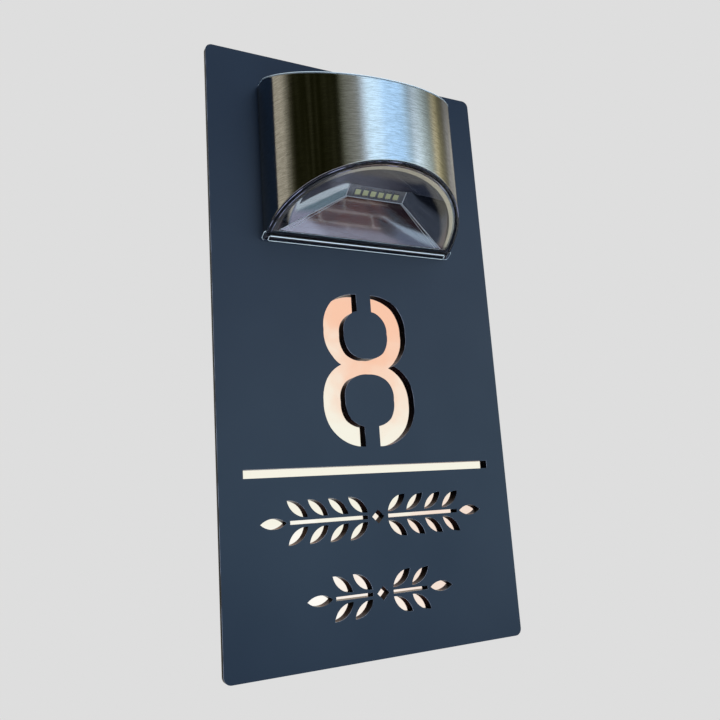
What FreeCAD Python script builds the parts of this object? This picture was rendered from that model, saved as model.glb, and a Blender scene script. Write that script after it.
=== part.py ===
import FreeCAD, Part
import math
import os

import Sketcher
from FreeCAD import Placement, Rotation, Vector

# House number sign with a solar wall lamp hung on its plate.
# Frame: X to the right as seen from the street, Y into the wall, Z up.
# Origin: the wall plane, in the middle of the four wall screws.

DIMENSIONS = [
    # plates
    ("plate_width", 160),
    ("plate_height", 305),
    ("plate_thick", 3),
    ("plate_corner", 3.5),
    ("mirror_inset", 6),
    ("mirror_thick", 3),
    ("wall_gap", 10),
    # push-on wall locators
    ("locator_span_x", 110),
    ("locator_span_z", 240),
    ("locator_radius", 10),
    ("stud_flange", 3),
    ("stud_boss_radius", 5.2),
    ("stud_height", 8),
    ("cup_bore_radius", 5.5),
    ("cup_floor", 1.6),
    ("wall_hole_radius", 2.25),
    ("countersink_radius", 4.4),
    # stencil bar
    ("bar_width", 136.6),
    ("bar_height", 4),
    ("bar_level", 89),
    # lamp outline
    ("lamp_level", 202.6),
    ("lamp_half", 53.5),
    ("lamp_depth", 49),
    ("lamp_straight", 4),
    ("lamp_rise", 84),
    ("lamp_gap", 0.3),
    ("top_flat", 8),
    ("top_slope", 0.33),
    ("lens_slope", 0.56),
    # walls of the lamp
    ("shell_thick", 0.5),
    ("shell_fit", 0.1),
    ("housing_wall", 1.3),
    ("rear_cover_thick", 2),
    ("gasket_thick", 0.8),
    ("flange_wall", 1.6),
    ("cover_flange", 0.8),
    ("cover_thick", 2),
    ("cell_thick", 1.6),
    ("deck_thick", 1.6),
    ("lens_flange", 0.9),
    ("lens_thick", 1.8),
    ("lens_recess", 0.6),
    ("lens_rim", 2.3),
    ("lens_back_rim", 3.3),
    ("ear_half", 54.8),
    ("ear_depth", 5),
    # reflector and light engine
    ("skirt_half", 51.3),
    ("skirt_depth", 46.8),
    ("mouth_half", 48.2),
    ("mouth_depth", 43.5),
    ("facet_back", 5.95),
    ("facet_base", 1.0),
    ("facet_slope", 0.727),
    ("window_half", 16.2),
    ("window_back", 19),
    ("window_front", 24.5),
    ("window_level", 21.4),
    ("window_slope", 0.727),
    ("reflector_wall", 1.1),
    ("led_pitch", 4.34),
    # keyholes and the screws that the lamp hangs on
    ("keyhole_x", 30),
    ("keyhole_z", 58),
    ("keyhole_drop", 9),
    ("slot_radius", 2.4),
    ("hang_fit", 0.03),
    ("keyhole_radius", 4),
    ("shoulder_radius", 2.1),
    ("shoulder_length", 2.6),
    ("head_radius", 3.6),
    ("head_height", 2.4),
    ("shank_radius", 1.5),
    ("shank_hole", 1.6),
    # rear cover fixings
    ("rear_screw_x", 44.5),
    ("rear_screw_low", 17),
    ("rear_screw_high", 73.5),
    # battery, its cradle and the board
    ("battery_radius", 7.1),
    ("battery_length", 50),
    ("battery_depth", 15.2),
    ("battery_level", 46),
    ("cradle_front", 24),
    ("cradle_ear_x", 34),
    ("board_back", 6.5),
    ("board_thick", 1.2),
    ("board_level", 66),
    ("board_post_x", 17),
    # slide switch
    ("switch_travel", 2),
]

OUTSIDE = 80  # reaches past every outline of the lamp
BEHIND = 10  # how far the lamp's plan runs on behind its back before layers trim it

doc = FreeCAD.newDocument("house_number_sign")
dims = doc.addObject("Spreadsheet::Sheet", "dims")
for row, (alias, value) in enumerate(DIMENSIONS, start=1):
    dims.set(f"A{row}", alias)
    dims.set(f"B{row}", str(value))
    dims.setAlias(f"B{row}", alias)
doc.recompute()

FACE = "(dims.wall_gap + dims.mirror_thick + dims.plate_thick)"
LAMP_Z = "(dims.lamp_level - dims.plate_height / 2)"
HOUSING_BACK = "(dims.lamp_gap + dims.rear_cover_thick + dims.gasket_thick)"
HOUSING_HALF = "(dims.lamp_half - dims.shell_thick - dims.shell_fit)"
HOUSING_DEPTH = "(dims.lamp_depth - dims.shell_thick - dims.shell_fit)"
CAVITY_HALF = f"({HOUSING_HALF} - dims.housing_wall)"
CAVITY_DEPTH = f"({HOUSING_DEPTH} - dims.housing_wall)"
CAVITY_BACK = f"({HOUSING_BACK} + dims.flange_wall)"
PLUG_FIT = 0.1

REAR_SCREWS = [
    (side, level)
    for level in ("dims.rear_screw_low", "dims.rear_screw_high")
    for side in ("-dims.rear_screw_x", "dims.rear_screw_x")
]

ALONG_Y = Rotation(Vector(1, 0, 0), -90)  # turns a cylinder's +Z axis to +Y
ALONG_X = Rotation(Vector(0, 1, 0), 90)
SIDE_PLANE = Rotation(Vector(1, 1, 1), 120)  # sketch x to +Y, sketch y to +Z
UPRIGHT_PLANE = Rotation(Vector(1, 0, 0), 90)  # sketch x to +X, sketch y to +Z

parts = {}


def number(expression):
    return float(dims.evalExpression(str(expression)))


def bind(item, prop, expression):
    item.setExpression(prop, str(expression))


def place(item, x="0", y="0", z="0"):
    for axis, expression in zip("xyz", (x, y, z)):
        bind(item, f"Placement.Base.{axis}", expression)


def keep(item, label):
    """Names a finished piece; its label is its node and its file."""
    item.Label = label
    parts[label] = item
    return item


def keep_on_lamp(item, label):
    """Moves a finished piece from the lamp's own frame to its place on the plate."""
    place(item, "0", f"-{FACE}", LAMP_Z)
    return keep(item, label)


# ---------------------------------------------------------------- sketches


def origin_plane(body, role):
    return next(item for item in body.Origin.OriginFeatures if item.Role == role)


def body_sketch(body, role, name, offset="0"):
    sketch = body.newObject("Sketcher::SketchObject", name)
    sketch.AttachmentSupport = [(origin_plane(body, role), "")]
    sketch.MapMode = "FlatFace"
    bind(sketch, "AttachmentOffset.Base.z", offset)
    return sketch


def free_sketch(name, rotation=Rotation()):
    sketch = doc.addObject("Sketcher::SketchObject", name)
    sketch.Placement = Placement(Vector(0, 0, 0), rotation)
    return sketch


def fix_point(sketch, geometry, point, x, y):
    for kind, expression in (("DistanceX", x), ("DistanceY", y)):
        constraint = Sketcher.Constraint(kind, -1, 1, geometry, point, number(expression))
        index = sketch.addConstraint(constraint)
        bind(sketch, f"Constraints[{index}]", expression)


def polygon(sketch, corners):
    """Closed outline through corners given as pairs of expressions."""
    places = [Vector(number(x), number(y), 0) for x, y in corners]
    first = sketch.GeometryCount
    count = len(corners)
    for i in range(count):
        sketch.addGeometry(Part.LineSegment(places[i], places[(i + 1) % count]))
    for i in range(count):
        sketch.addConstraint(Sketcher.Constraint("Coincident", first + i, 2, first + (i + 1) % count, 1))
    for i, (x, y) in enumerate(corners):
        fix_point(sketch, first + i, 1, x, y)


def rectangle(sketch, x_low, x_high, y_low, y_high):
    polygon(sketch, [(x_low, y_low), (x_high, y_low), (x_high, y_high), (x_low, y_high)])


def circle(sketch, x, y, radius):
    centre = Vector(number(x), number(y), 0)
    geometry = sketch.addGeometry(Part.Circle(centre, Vector(0, 0, 1), number(radius)))
    fix_point(sketch, geometry, 3, x, y)
    index = sketch.addConstraint(Sketcher.Constraint("Radius", geometry, number(radius)))
    bind(sketch, f"Constraints[{index}]", radius)


def lamp_outline(sketch, half, depth):
    """Plan of the lamp: straight sides from inside the plate, then a half ellipse towards the street."""
    straight = "dims.lamp_straight"
    w, d, s, b = number(half), number(depth), number(straight), BEHIND
    base = sketch.addGeometry(Part.LineSegment(Vector(-w, b, 0), Vector(w, b, 0)))
    right = sketch.addGeometry(Part.LineSegment(Vector(w, b, 0), Vector(w, -s, 0)))
    ellipse = Part.Ellipse(Vector(0, -s, 0), w, d - s)
    bow = sketch.addGeometry(Part.ArcOfEllipse(ellipse, math.pi, 2 * math.pi))
    left = sketch.addGeometry(Part.LineSegment(Vector(-w, -s, 0), Vector(-w, b, 0)))
    sketch.exposeInternalGeometry(bow)
    major, minor = left + 1, left + 2
    for constraint in (
        Sketcher.Constraint("Coincident", base, 2, right, 1),
        Sketcher.Constraint("Coincident", right, 2, bow, 2),
        Sketcher.Constraint("Coincident", bow, 1, left, 1),
        Sketcher.Constraint("Coincident", left, 2, base, 1),
        Sketcher.Constraint("Horizontal", base),
        Sketcher.Constraint("Vertical", right),
        Sketcher.Constraint("Vertical", left),
        Sketcher.Constraint("Horizontal", major),
        Sketcher.Constraint("PointOnObject", bow, 3, -2),
        Sketcher.Constraint("Horizontal", right, 2, left, 1),
    ):
        sketch.addConstraint(constraint)
    for kind, geometry, point, expression in (
        ("DistanceX", right, 2, half),
        ("DistanceY", right, 2, f"-{straight}"),
        ("DistanceY", bow, 3, f"-{straight}"),
        ("DistanceY", minor, 2, f"-({depth})"),
        ("DistanceY", base, 2, BEHIND),
    ):
        constraint = Sketcher.Constraint(kind, -1, 1, geometry, point, number(expression))
        index = sketch.addConstraint(constraint)
        bind(sketch, f"Constraints[{index}]", expression)


# ---------------------------------------------------------------- features of a body


def new_body(label):
    body = doc.addObject("PartDesign::Body", label)
    body.AllowCompound = True
    return body


def pad(body, sketch, length, midplane=False, reverse=False):
    feature = body.newObject("PartDesign::Pad", f"{body.Name}_pad")
    feature.Profile = sketch
    bind(feature, "Length", length)
    feature.Midplane = midplane
    feature.Reversed = reverse
    doc.recompute()
    return feature


def cut_through(body, sketch):
    """Pocket through the whole body, both ways from the sketch; it has to take something away."""
    before = body.Shape.Volume
    feature = body.newObject("PartDesign::Pocket", f"{body.Name}_pocket")
    feature.Profile = sketch
    feature.Type = "ThroughAll"
    feature.Midplane = True
    doc.recompute()
    if not body.Shape.Volume < before:
        raise RuntimeError(f"a pocket of {body.Label} cuts nothing")
    return feature


def revolve(body, sketch):
    feature = body.newObject("PartDesign::Revolution", f"{body.Name}_turned")
    feature.Profile = sketch
    feature.ReferenceAxis = (sketch, ["Axis0"])
    feature.Angle = 360
    doc.recompute()
    return feature


def mirror_four(body, original):
    """Repeats a feature in all four quarters of the plate."""
    feature = body.newObject("PartDesign::MultiTransform", f"{body.Name}_four")
    feature.Originals = [original]
    steps = []
    for role in ("YZ_Plane", "XY_Plane"):
        step = body.newObject("PartDesign::Mirrored", f"{body.Name}_step")
        step.MirrorPlane = (origin_plane(body, role), [""])
        steps.append(step)
    feature.Transformations = steps
    body.Tip = feature
    doc.recompute()
    return feature


# ---------------------------------------------------------------- solids for booleans


def box(name, x, y, z):
    """Box between pairs of expressions, low and high, on each axis."""
    item = doc.addObject("Part::Box", name)
    for prop, (low, high) in zip(("Length", "Width", "Height"), (x, y, z)):
        bind(item, prop, f"({high}) - ({low})")
    place(item, x[0], y[0], z[0])
    return item


def rod(name, radius, length, x, y, z, rotation=ALONG_Y):
    item = doc.addObject("Part::Cylinder", name)
    item.Placement = Placement(Vector(0, 0, 0), rotation)
    bind(item, "Radius", radius)
    bind(item, "Height", length)
    place(item, x, y, z)
    return item


def extrusion(name, sketch, length, symmetric=False):
    item = doc.addObject("Part::Extrusion", name)
    item.Base = sketch
    item.DirMode = "Normal"
    item.Solid = True
    item.Symmetric = symmetric
    bind(item, "LengthFwd", length)
    return item


def lamp_prism(name, half, depth):
    """Upright prism over the lamp's plan, taller than the lamp."""
    sketch = free_sketch(f"{name}_plan")
    lamp_outline(sketch, half, depth)
    place(sketch, z="-10")
    return extrusion(name, sketch, "110")


def side_prism(name, corners):
    """Solid across the whole lamp; corners are (depth in front of the plate, height)."""
    sketch = free_sketch(f"{name}_side", SIDE_PLANE)
    polygon(sketch, [(f"-({depth})", height) for depth, height in corners])
    return extrusion(name, sketch, 2 * OUTSIDE, symmetric=True)


def low_line(depth, rise):
    return f"({rise}) + dims.lens_slope * ({depth})"


def top_line(depth, drop):
    return f"dims.lamp_rise - ({drop}) - dims.top_slope * (({depth}) - dims.top_flat)"


def between_ends(name, back, rise, drop):
    """Space in front of a back plane, between the raised lens plane and the lowered sloping top."""
    return side_prism(
        name,
        [
            (back, low_line(back, rise)),
            (OUTSIDE, low_line(OUTSIDE, rise)),
            (OUTSIDE, top_line(OUTSIDE, drop)),
            ("dims.top_flat", f"dims.lamp_rise - ({drop})"),
            (back, f"dims.lamp_rise - ({drop})"),
        ],
    )


def lens_layer(name, back, low, high):
    """Layer in front of a back plane, parallel to the lens plane."""
    return side_prism(
        name,
        [
            (back, low_line(back, low)),
            (OUTSIDE, low_line(OUTSIDE, low)),
            (OUTSIDE, low_line(OUTSIDE, high)),
            (back, low_line(back, high)),
        ],
    )


def top_layer(name, back, upper, lower):
    """Layer in front of a back plane, under the top: level at the back and sloping in front."""
    return side_prism(
        name,
        [
            (back, f"dims.lamp_rise - ({upper})"),
            ("dims.top_flat", f"dims.lamp_rise - ({upper})"),
            (OUTSIDE, top_line(OUTSIDE, upper)),
            (OUTSIDE, top_line(OUTSIDE, lower)),
            ("dims.top_flat", f"dims.lamp_rise - ({lower})"),
            (back, f"dims.lamp_rise - ({lower})"),
        ],
    )


def common(name, first, second):
    item = doc.addObject("Part::Common", name)
    item.Base = first
    item.Tool = second
    return item


def fuse(name, items):
    item = doc.addObject("Part::MultiFuse", name)
    item.Shapes = items
    return item


def cut(name, base, tools):
    item = doc.addObject("Part::Cut", name)
    item.Base = base
    item.Tool = tools[0] if len(tools) == 1 else fuse(f"{name}_tools", tools)
    return item


def group(name, items):
    item = doc.addObject("Part::Compound", name)
    item.Links = items
    return item


def both_sides(make, name, x):
    """Makes the same piece left and right of the middle."""
    return [make(f"{name}_left", f"-({x})"), make(f"{name}_right", x)]


# ---------------------------------------------------------------- stencil

BRIDGE = 4.1  # half the width of the stencil bridges of the numeral
NUMERAL_TOP = 178.9
NUMERAL_BOTTOM = 100.2
UPPER_EYE_TOP = 169.9
LOWER_EYE_BOTTOM = 110.3

# right half of the numeral 8, each arc as (point on the way, end), from the plate's bottom edge
OUTER_ARCS = [
    ((12.4, 177.5), (18.6, 174.0)),
    ((22.4, 168.0), (23.7, 159.3)),
    ((22.6, 150.8), (19.6, 145.7)),
    ((17.6, 143.3), (15.1, 141.5)),
    ((19.6, 138.6), (23.2, 134.3)),
    ((25.3, 128.8), (25.9, 122.5)),
    ((25.2, 115.6), (22.9, 110.0)),
    ((15.4, 103.0), (BRIDGE, NUMERAL_BOTTOM)),
]
LOWER_EYE_ARCS = [
    ((8.2, 111.7), (11.3, 114.0)),
    ((13.2, 117.8), (13.8, 123.6)),
    ((12.9, 130.2), (9.9, 134.1)),
    ((5.6, 136.2), (0.0, 136.8)),
]
UPPER_EYE_ARCS = [
    ((5.6, 145.7), (9.6, 148.2)),
    ((11.7, 152.0), (12.4, 158.6)),
    ((11.3, 164.4), (8.4, 167.9)),
    ((6.4, 169.2), (BRIDGE, UPPER_EYE_TOP)),
]
UPPER_EYE_BOTTOM = 145.0


def arc_chain(start, arcs):
    """Edges of arcs, each through a point on the way to its end."""
    edges = []
    for middle, end in arcs:
        edges.append((start, middle, end))
        start = end
    return edges


def mirrored(edges):
    """The same edges left of the middle, run backwards."""
    return [tuple((-x, z) for x, z in reversed(edge)) for edge in reversed(edges)]


def numeral_edges():
    outer = arc_chain((BRIDGE, NUMERAL_TOP), OUTER_ARCS)
    lower_eye = arc_chain((BRIDGE, LOWER_EYE_BOTTOM), LOWER_EYE_ARCS)
    upper_eye = arc_chain((0.0, UPPER_EYE_BOTTOM), UPPER_EYE_ARCS)
    return (
        outer
        + [((BRIDGE, NUMERAL_BOTTOM), (BRIDGE, LOWER_EYE_BOTTOM))]
        + lower_eye
        + mirrored(lower_eye)
        + [((-BRIDGE, LOWER_EYE_BOTTOM), (-BRIDGE, NUMERAL_BOTTOM))]
        + mirrored(outer)
        + [((-BRIDGE, NUMERAL_TOP), (-BRIDGE, UPPER_EYE_TOP))]
        + mirrored(upper_eye)
        + upper_eye
        + [((BRIDGE, UPPER_EYE_TOP), (BRIDGE, NUMERAL_TOP))]
    )


def draw_edges(sketch, edges):
    """Lines and arcs of a stencil, held where they are drawn, measured from the plate's bottom edge."""
    bottom = number("-dims.plate_height / 2")
    for edge in edges:
        points = [Vector(x, bottom + z, 0) for x, z in edge]
        curve = Part.Arc(*points) if len(points) == 3 else Part.LineSegment(*points)
        geometry = sketch.addGeometry(curve)
        sketch.addConstraint(Sketcher.Constraint("Block", geometry))


LEAF_LENGTH = 13.0
LEAF_WIDTH = 5.0
LEAF_ANGLE = 38.0
LEAF_PITCH = 10.6
LEAF_OFFSET = 2.2  # from the stem's middle to the root of a leaf
STEM_HALF = 0.9
CENTRE_GAP = 5.6  # from the middle to the first leaf's root
DIAMOND_HALF = 3.4
SPRIG_ROWS = [(65.9, 4), (29.7, 2)]  # level of each row and its pairs of leaves on one side


def leaf_edges(x, z, angle):
    """Almond from its root, two arcs that meet in points."""
    turn = math.radians(angle)
    ahead = (math.cos(turn), math.sin(turn))
    aside = (-ahead[1], ahead[0])
    tip = (x + LEAF_LENGTH * ahead[0], z + LEAF_LENGTH * ahead[1])
    middle = (x + LEAF_LENGTH / 2 * ahead[0], z + LEAF_LENGTH / 2 * ahead[1])
    bulge = LEAF_WIDTH / 2
    upper = (middle[0] + bulge * aside[0], middle[1] + bulge * aside[1])
    lower = (middle[0] - bulge * aside[0], middle[1] - bulge * aside[1])
    return [((x, z), upper, tip), (tip, lower, (x, z))]


def sprig_edges(level, pairs):
    """Right half of a row: pairs of leaves along a stem, and one leaf at its end."""
    edges = []
    for i in range(pairs):
        root = CENTRE_GAP + i * LEAF_PITCH
        edges += leaf_edges(root, level + LEAF_OFFSET, LEAF_ANGLE)
        edges += leaf_edges(root, level - LEAF_OFFSET, -LEAF_ANGLE)
    stem_end = CENTRE_GAP + pairs * LEAF_PITCH - 1.6
    low, high = level - STEM_HALF, level + STEM_HALF
    corners = [(CENTRE_GAP, low), (stem_end, low), (stem_end, high), (CENTRE_GAP, high)]
    edges += [(corners[i], corners[(i + 1) % 4]) for i in range(4)]
    edges += leaf_edges(stem_end + 1.6, level, 0)
    return edges


def diamond_edges(level):
    corners = [(DIAMOND_HALF, level), (0, level + DIAMOND_HALF), (-DIAMOND_HALF, level), (0, level - DIAMOND_HALF)]
    return [(corners[i], corners[(i + 1) % 4]) for i in range(4)]


# ---------------------------------------------------------------- plates


def plate(label, half_width, half_height, back, thick, corner):
    """Flat plate whose back face is that far in front of the wall, with round corners."""
    body = new_body(label)
    outline = body_sketch(body, "XZ_Plane", f"{label}_outline", back)
    rectangle(outline, f"-({half_width})", half_width, f"-({half_height})", half_height)
    feature = pad(body, outline, thick)
    corners = [
        f"Edge{i}"
        for i, edge in enumerate(feature.Shape.Edges, start=1)
        if abs(edge.tangentAt(edge.FirstParameter).y) > 0.9
    ]
    rounding = body.newObject("PartDesign::Fillet", f"{label}_corners")
    rounding.Base = (feature, corners)
    bind(rounding, "Radius", corner)
    doc.recompute()
    return body


def add_lamp_screw_holes(body):
    sketch = body_sketch(body, "XZ_Plane", f"{body.Name}_screw_holes")
    for side in ("-dims.keyhole_x", "dims.keyhole_x"):
        circle(sketch, side, f"{LAMP_Z} + dims.keyhole_z", "dims.shank_hole")
    cut_through(body, sketch)


def make_front_plate():
    body = plate(
        "front_plate",
        "dims.plate_width / 2",
        "dims.plate_height / 2",
        "dims.wall_gap + dims.mirror_thick",
        "dims.plate_thick",
        "dims.plate_corner",
    )
    numeral = body_sketch(body, "XZ_Plane", "numeral")
    draw_edges(numeral, numeral_edges())
    cut_through(body, numeral)

    bar = body_sketch(body, "XZ_Plane", "bar")
    middle = "dims.bar_level - dims.plate_height / 2"
    rectangle(
        bar,
        "-dims.bar_width / 2",
        "dims.bar_width / 2",
        f"{middle} - dims.bar_height / 2",
        f"{middle} + dims.bar_height / 2",
    )
    cut_through(body, bar)

    for row, (level, pairs) in enumerate(SPRIG_ROWS, start=1):
        half = sprig_edges(level, pairs)
        ornament = body_sketch(body, "XZ_Plane", f"ornament_{row}")
        draw_edges(ornament, half + mirrored(half) + diamond_edges(level))
        cut_through(body, ornament)

    add_lamp_screw_holes(body)
    keep(body, "front_plate")


def make_mirror_plate():
    body = plate(
        "mirror_plate",
        "dims.plate_width / 2 - dims.mirror_inset",
        "dims.plate_height / 2 - dims.mirror_inset",
        "dims.wall_gap",
        "dims.mirror_thick",
        "dims.plate_corner",
    )
    add_lamp_screw_holes(body)
    keep(body, "mirror_plate")


# ---------------------------------------------------------------- wall locators


def turned_four(label, profile):
    """Four equal turned pieces on the wall screws' axes; profile is (radius, distance from the wall)."""
    body = new_body(label)
    sketch = body_sketch(body, "XY_Plane", f"{label}_profile", "dims.locator_span_z / 2")
    centre = "dims.locator_span_x / 2"
    polygon(sketch, [(f"{centre} + {radius}", f"-({out})") for radius, out in profile])
    start = Vector(number(centre), 5, 0)
    axis = sketch.addGeometry(Part.LineSegment(start, start - Vector(0, 20, 0)), True)
    fix_point(sketch, axis, 1, centre, "5")
    fix_point(sketch, axis, 2, centre, "-15")
    mirror_four(body, revolve(body, sketch))
    keep(body, label)


def make_locators():
    hole = "dims.wall_hole_radius"
    sink = "dims.countersink_radius"
    boss = "dims.stud_boss_radius"
    sink_start = f"dims.stud_height - ({sink} - {hole})"
    turned_four(
        "locator_studs",
        [
            (hole, "0"),
            ("dims.locator_radius", "0"),
            ("dims.locator_radius", "dims.stud_flange"),
            (f"{boss} - 0.3", "dims.stud_flange"),
            (f"{boss} - 0.3", "dims.stud_height - 2.4"),
            (boss, "dims.stud_height - 1.6"),
            (boss, "dims.stud_height - 0.8"),
            (f"{boss} - 0.4", "dims.stud_height"),
            (sink, "dims.stud_height"),
            (hole, sink_start),
        ],
    )
    turned_four(
        "locator_cups",
        [
            ("0", "dims.wall_gap"),
            ("0", "dims.wall_gap - dims.cup_floor"),
            ("dims.cup_bore_radius", "dims.wall_gap - dims.cup_floor"),
            ("dims.cup_bore_radius", "dims.stud_flange + 1"),
            ("dims.cup_bore_radius + 0.6", "dims.stud_flange"),
            ("dims.locator_radius - 0.4", "dims.stud_flange"),
            ("dims.locator_radius", "dims.stud_flange + 0.4"),
            ("dims.locator_radius", "dims.wall_gap"),
        ],
    )


# ---------------------------------------------------------------- screws that the lamp hangs on


def shouldered_screw(name, x):
    """Pan head, smooth shoulder that sits on the plate, and shank; axis along Y at the plate's face."""
    reach = "dims.plate_thick + dims.mirror_thick + 4.9"
    z = "dims.keyhole_z"
    head_front = "dims.shoulder_length + dims.head_height"
    head = rod(f"{name}_head", "dims.head_radius", "dims.head_height", x, f"-({head_front})", z)
    rounding = doc.addObject("Part::Fillet", f"{name}_pan")
    rounding.Base = head
    doc.recompute()
    front_edge = 1 + min(
        range(len(head.Shape.Edges)), key=lambda i: head.Shape.Edges[i].CenterOfMass.y
    )
    rounding.Edges = [(front_edge, 1.0, 1.0)]
    shoulder = rod(f"{name}_shoulder", "dims.shoulder_radius", "dims.shoulder_length", x, "-dims.shoulder_length", z)
    shank = rod(f"{name}_shank", "dims.shank_radius", reach, x, "0", z)
    recess = box(
        f"{name}_slot",
        (f"({x}) - 2.4", f"({x}) + 2.4"),
        (f"-({head_front}) - 1", f"-({head_front}) + 1.2"),
        (f"{z} - 0.4", f"{z} + 0.4"),
    )
    return cut(name, fuse(f"{name}_body", [rounding, shoulder, shank]), [recess])


def washer(name, x):
    behind = "dims.plate_thick + dims.mirror_thick"
    disc = rod(f"{name}_disc", "3.5", "0.5", x, behind, "dims.keyhole_z")
    hole = rod(f"{name}_hole", "dims.shank_hole", "2", x, f"{behind} - 1", "dims.keyhole_z")
    return cut(name, disc, [hole])


def nut(name, x):
    behind = "dims.plate_thick + dims.mirror_thick + 0.5"
    hexagon = doc.addObject("Part::Prism", f"{name}_hexagon")
    hexagon.Polygon = 6
    hexagon.Placement = Placement(Vector(0, 0, 0), ALONG_Y)
    bind(hexagon, "Circumradius", "5.5 / 2 / cos(30)")
    bind(hexagon, "Height", "2.4")
    place(hexagon, x, behind, "dims.keyhole_z")
    thread = rod(f"{name}_thread", "dims.shank_radius", "5", x, f"{behind} - 1", "dims.keyhole_z")
    return cut(name, hexagon, [thread])


def make_lamp_fixings():
    for label, make in (
        ("lamp_fixing_screws", shouldered_screw),
        ("lamp_fixing_washers", washer),
        ("lamp_fixing_nuts", nut),
    ):
        pair = both_sides(make, label, "dims.keyhole_x")
        keep_on_lamp(group(label, pair), label)


# ---------------------------------------------------------------- lamp: shell, housing, covers


def make_lamp_shell():
    outer = lamp_prism("shell_outer", "dims.lamp_half", "dims.lamp_depth")
    inner = lamp_prism("shell_inner", "dims.lamp_half - dims.shell_thick", "dims.lamp_depth - dims.shell_thick")
    band = cut("shell_band", outer, [inner])
    ends = between_ends("shell_ends", "dims.lamp_gap", "dims.lens_flange", "dims.cover_flange")
    keep_on_lamp(common("shell", band, ends), "lamp_shell")


def make_lamp_housing():
    deck_top = "dims.cover_thick + dims.cell_thick"
    deck_bottom = f"{deck_top} + dims.deck_thick"
    plan = lamp_prism("housing_plan", HOUSING_HALF, HOUSING_DEPTH)
    ends = between_ends("housing_ends", HOUSING_BACK, "dims.lens_flange", "dims.cover_flange")
    outer = common("housing_outer", plan, ends)
    inside = lamp_prism("cavity_plan", CAVITY_HALF, CAVITY_DEPTH)
    cavity = common("housing_cavity", inside, between_ends("cavity_ends", CAVITY_BACK, "-20", deck_bottom))
    recess_plan = lamp_prism("recess_plan", CAVITY_HALF, CAVITY_DEPTH)
    top_recess = common("housing_recess", recess_plan, top_layer("recess_layer", CAVITY_BACK, "-20", deck_top))
    service_opening = box(
        "service_opening", ("-40", "40"), (f"-{CAVITY_BACK} - 1", "0"), ("24", "dims.lamp_rise - 9")
    )
    lead_hole = rod("panel_lead_hole", "2.2", "30", "0", "-20", "60", Rotation())
    hollow = cut("housing_hollow", outer, [cavity, top_recess, service_opening, lead_hole])

    bosses = []
    pilots = []
    for side, level in REAR_SCREWS:
        bosses.append(rod("rear_boss", "3.2", f"12 - {CAVITY_BACK} + 0.5", side, "-12", level))
        pilots.append(rod("rear_pilot", "0.9", "11", side, "-11", level))
    for side in ("-dims.cradle_ear_x", "dims.cradle_ear_x"):
        length = f"{HOUSING_DEPTH} - dims.cradle_front"
        bosses.append(rod("cradle_boss", "3.2", length, side, f"-{HOUSING_DEPTH}", "dims.battery_level"))
        pilots.append(rod("cradle_pilot", "0.9", "8", side, "-dims.cradle_front - 7", "dims.battery_level"))
    boss_limit = lamp_prism("boss_limit", f"{HOUSING_HALF} - 0.5", f"{HOUSING_DEPTH} - 0.5")
    trimmed = common("housing_bosses", fuse("all_bosses", bosses), boss_limit)
    keep_on_lamp(cut("housing", fuse("housing_bossed", [hollow, trimmed]), pilots), "lamp_housing")


def make_top_cover():
    flange = common(
        "cover_flange",
        lamp_prism("cover_flange_plan", "dims.lamp_half", "dims.lamp_depth"),
        top_layer("cover_flange_layer", "dims.lamp_gap", "0", "dims.cover_flange"),
    )
    plug = common(
        "cover_plug",
        lamp_prism("cover_plug_plan", f"{CAVITY_HALF} - {PLUG_FIT}", f"{CAVITY_DEPTH} - {PLUG_FIT}"),
        top_layer("cover_plug_layer", f"{CAVITY_BACK} + {PLUG_FIT}", "dims.cover_flange / 2", "dims.cover_thick"),
    )
    keep_on_lamp(fuse("cover", [flange, plug]), "top_cover")


def make_solar_cell():
    """Thin laminate on the sloping part of the deck."""
    outline = box("cell_outline", ("-32", "32"), ("-37", "-11"), ("60", "90"))
    layer = top_layer("cell_layer", "0", "dims.cover_thick", "dims.cover_thick + dims.cell_thick")
    keep_on_lamp(common("cell", outline, layer), "solar_cell")


def rounded_strip(name, half, back, front, radius):
    """Upright strip along X with round corners in plan, for the lens's ears."""
    strip = box(name, (f"-({half})", half), (f"-({front})", f"-({back})"), ("-10", "30"))
    doc.recompute()
    rounding = doc.addObject("Part::Fillet", f"{name}_round")
    rounding.Base = strip
    upright = [
        i + 1
        for i, edge in enumerate(strip.Shape.Edges)
        if abs(edge.tangentAt(edge.FirstParameter).z) > 0.9
    ]
    rounding.Edges = [(i, radius, radius) for i in upright]
    return rounding


def make_lens():
    flange = common(
        "lens_flange",
        lamp_prism("lens_flange_plan", "dims.lamp_half", "dims.lamp_depth"),
        lens_layer("lens_flange_layer", "dims.lamp_gap", "0", "dims.lens_flange"),
    )
    ears = common(
        "lens_ears",
        rounded_strip("ear_strip", "dims.ear_half", "dims.lamp_gap", "dims.ear_depth", 1.4),
        lens_layer("ear_layer", "0", "0", "dims.lens_flange"),
    )
    core = common(
        "lens_core",
        lamp_prism("lens_core_plan", f"{CAVITY_HALF} - {PLUG_FIT}", f"{CAVITY_DEPTH} - {PLUG_FIT}"),
        lens_layer("lens_core_layer", f"{CAVITY_BACK} + {PLUG_FIT}", "dims.lens_flange / 2", "dims.lens_thick"),
    )
    recess = common(
        "lens_recess",
        lamp_prism("lens_recess_plan", "dims.lamp_half - dims.lens_rim", "dims.lamp_depth - dims.lens_rim"),
        lens_layer("lens_recess_layer", "dims.lens_back_rim", "-5", "dims.lens_recess"),
    )
    groove = common(
        "rim_groove",
        box("groove_strip", ("-50.4", "50.4"), ("-2.4", "-1.2"), ("-10", "30")),
        lens_layer("groove_layer", "0", "-5", "0.4"),
    )
    keep_on_lamp(cut("lens_plate", fuse("lens_blank", [flange, ears, core]), [recess, groove]), "lens")


# ---------------------------------------------------------------- reflector


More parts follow.
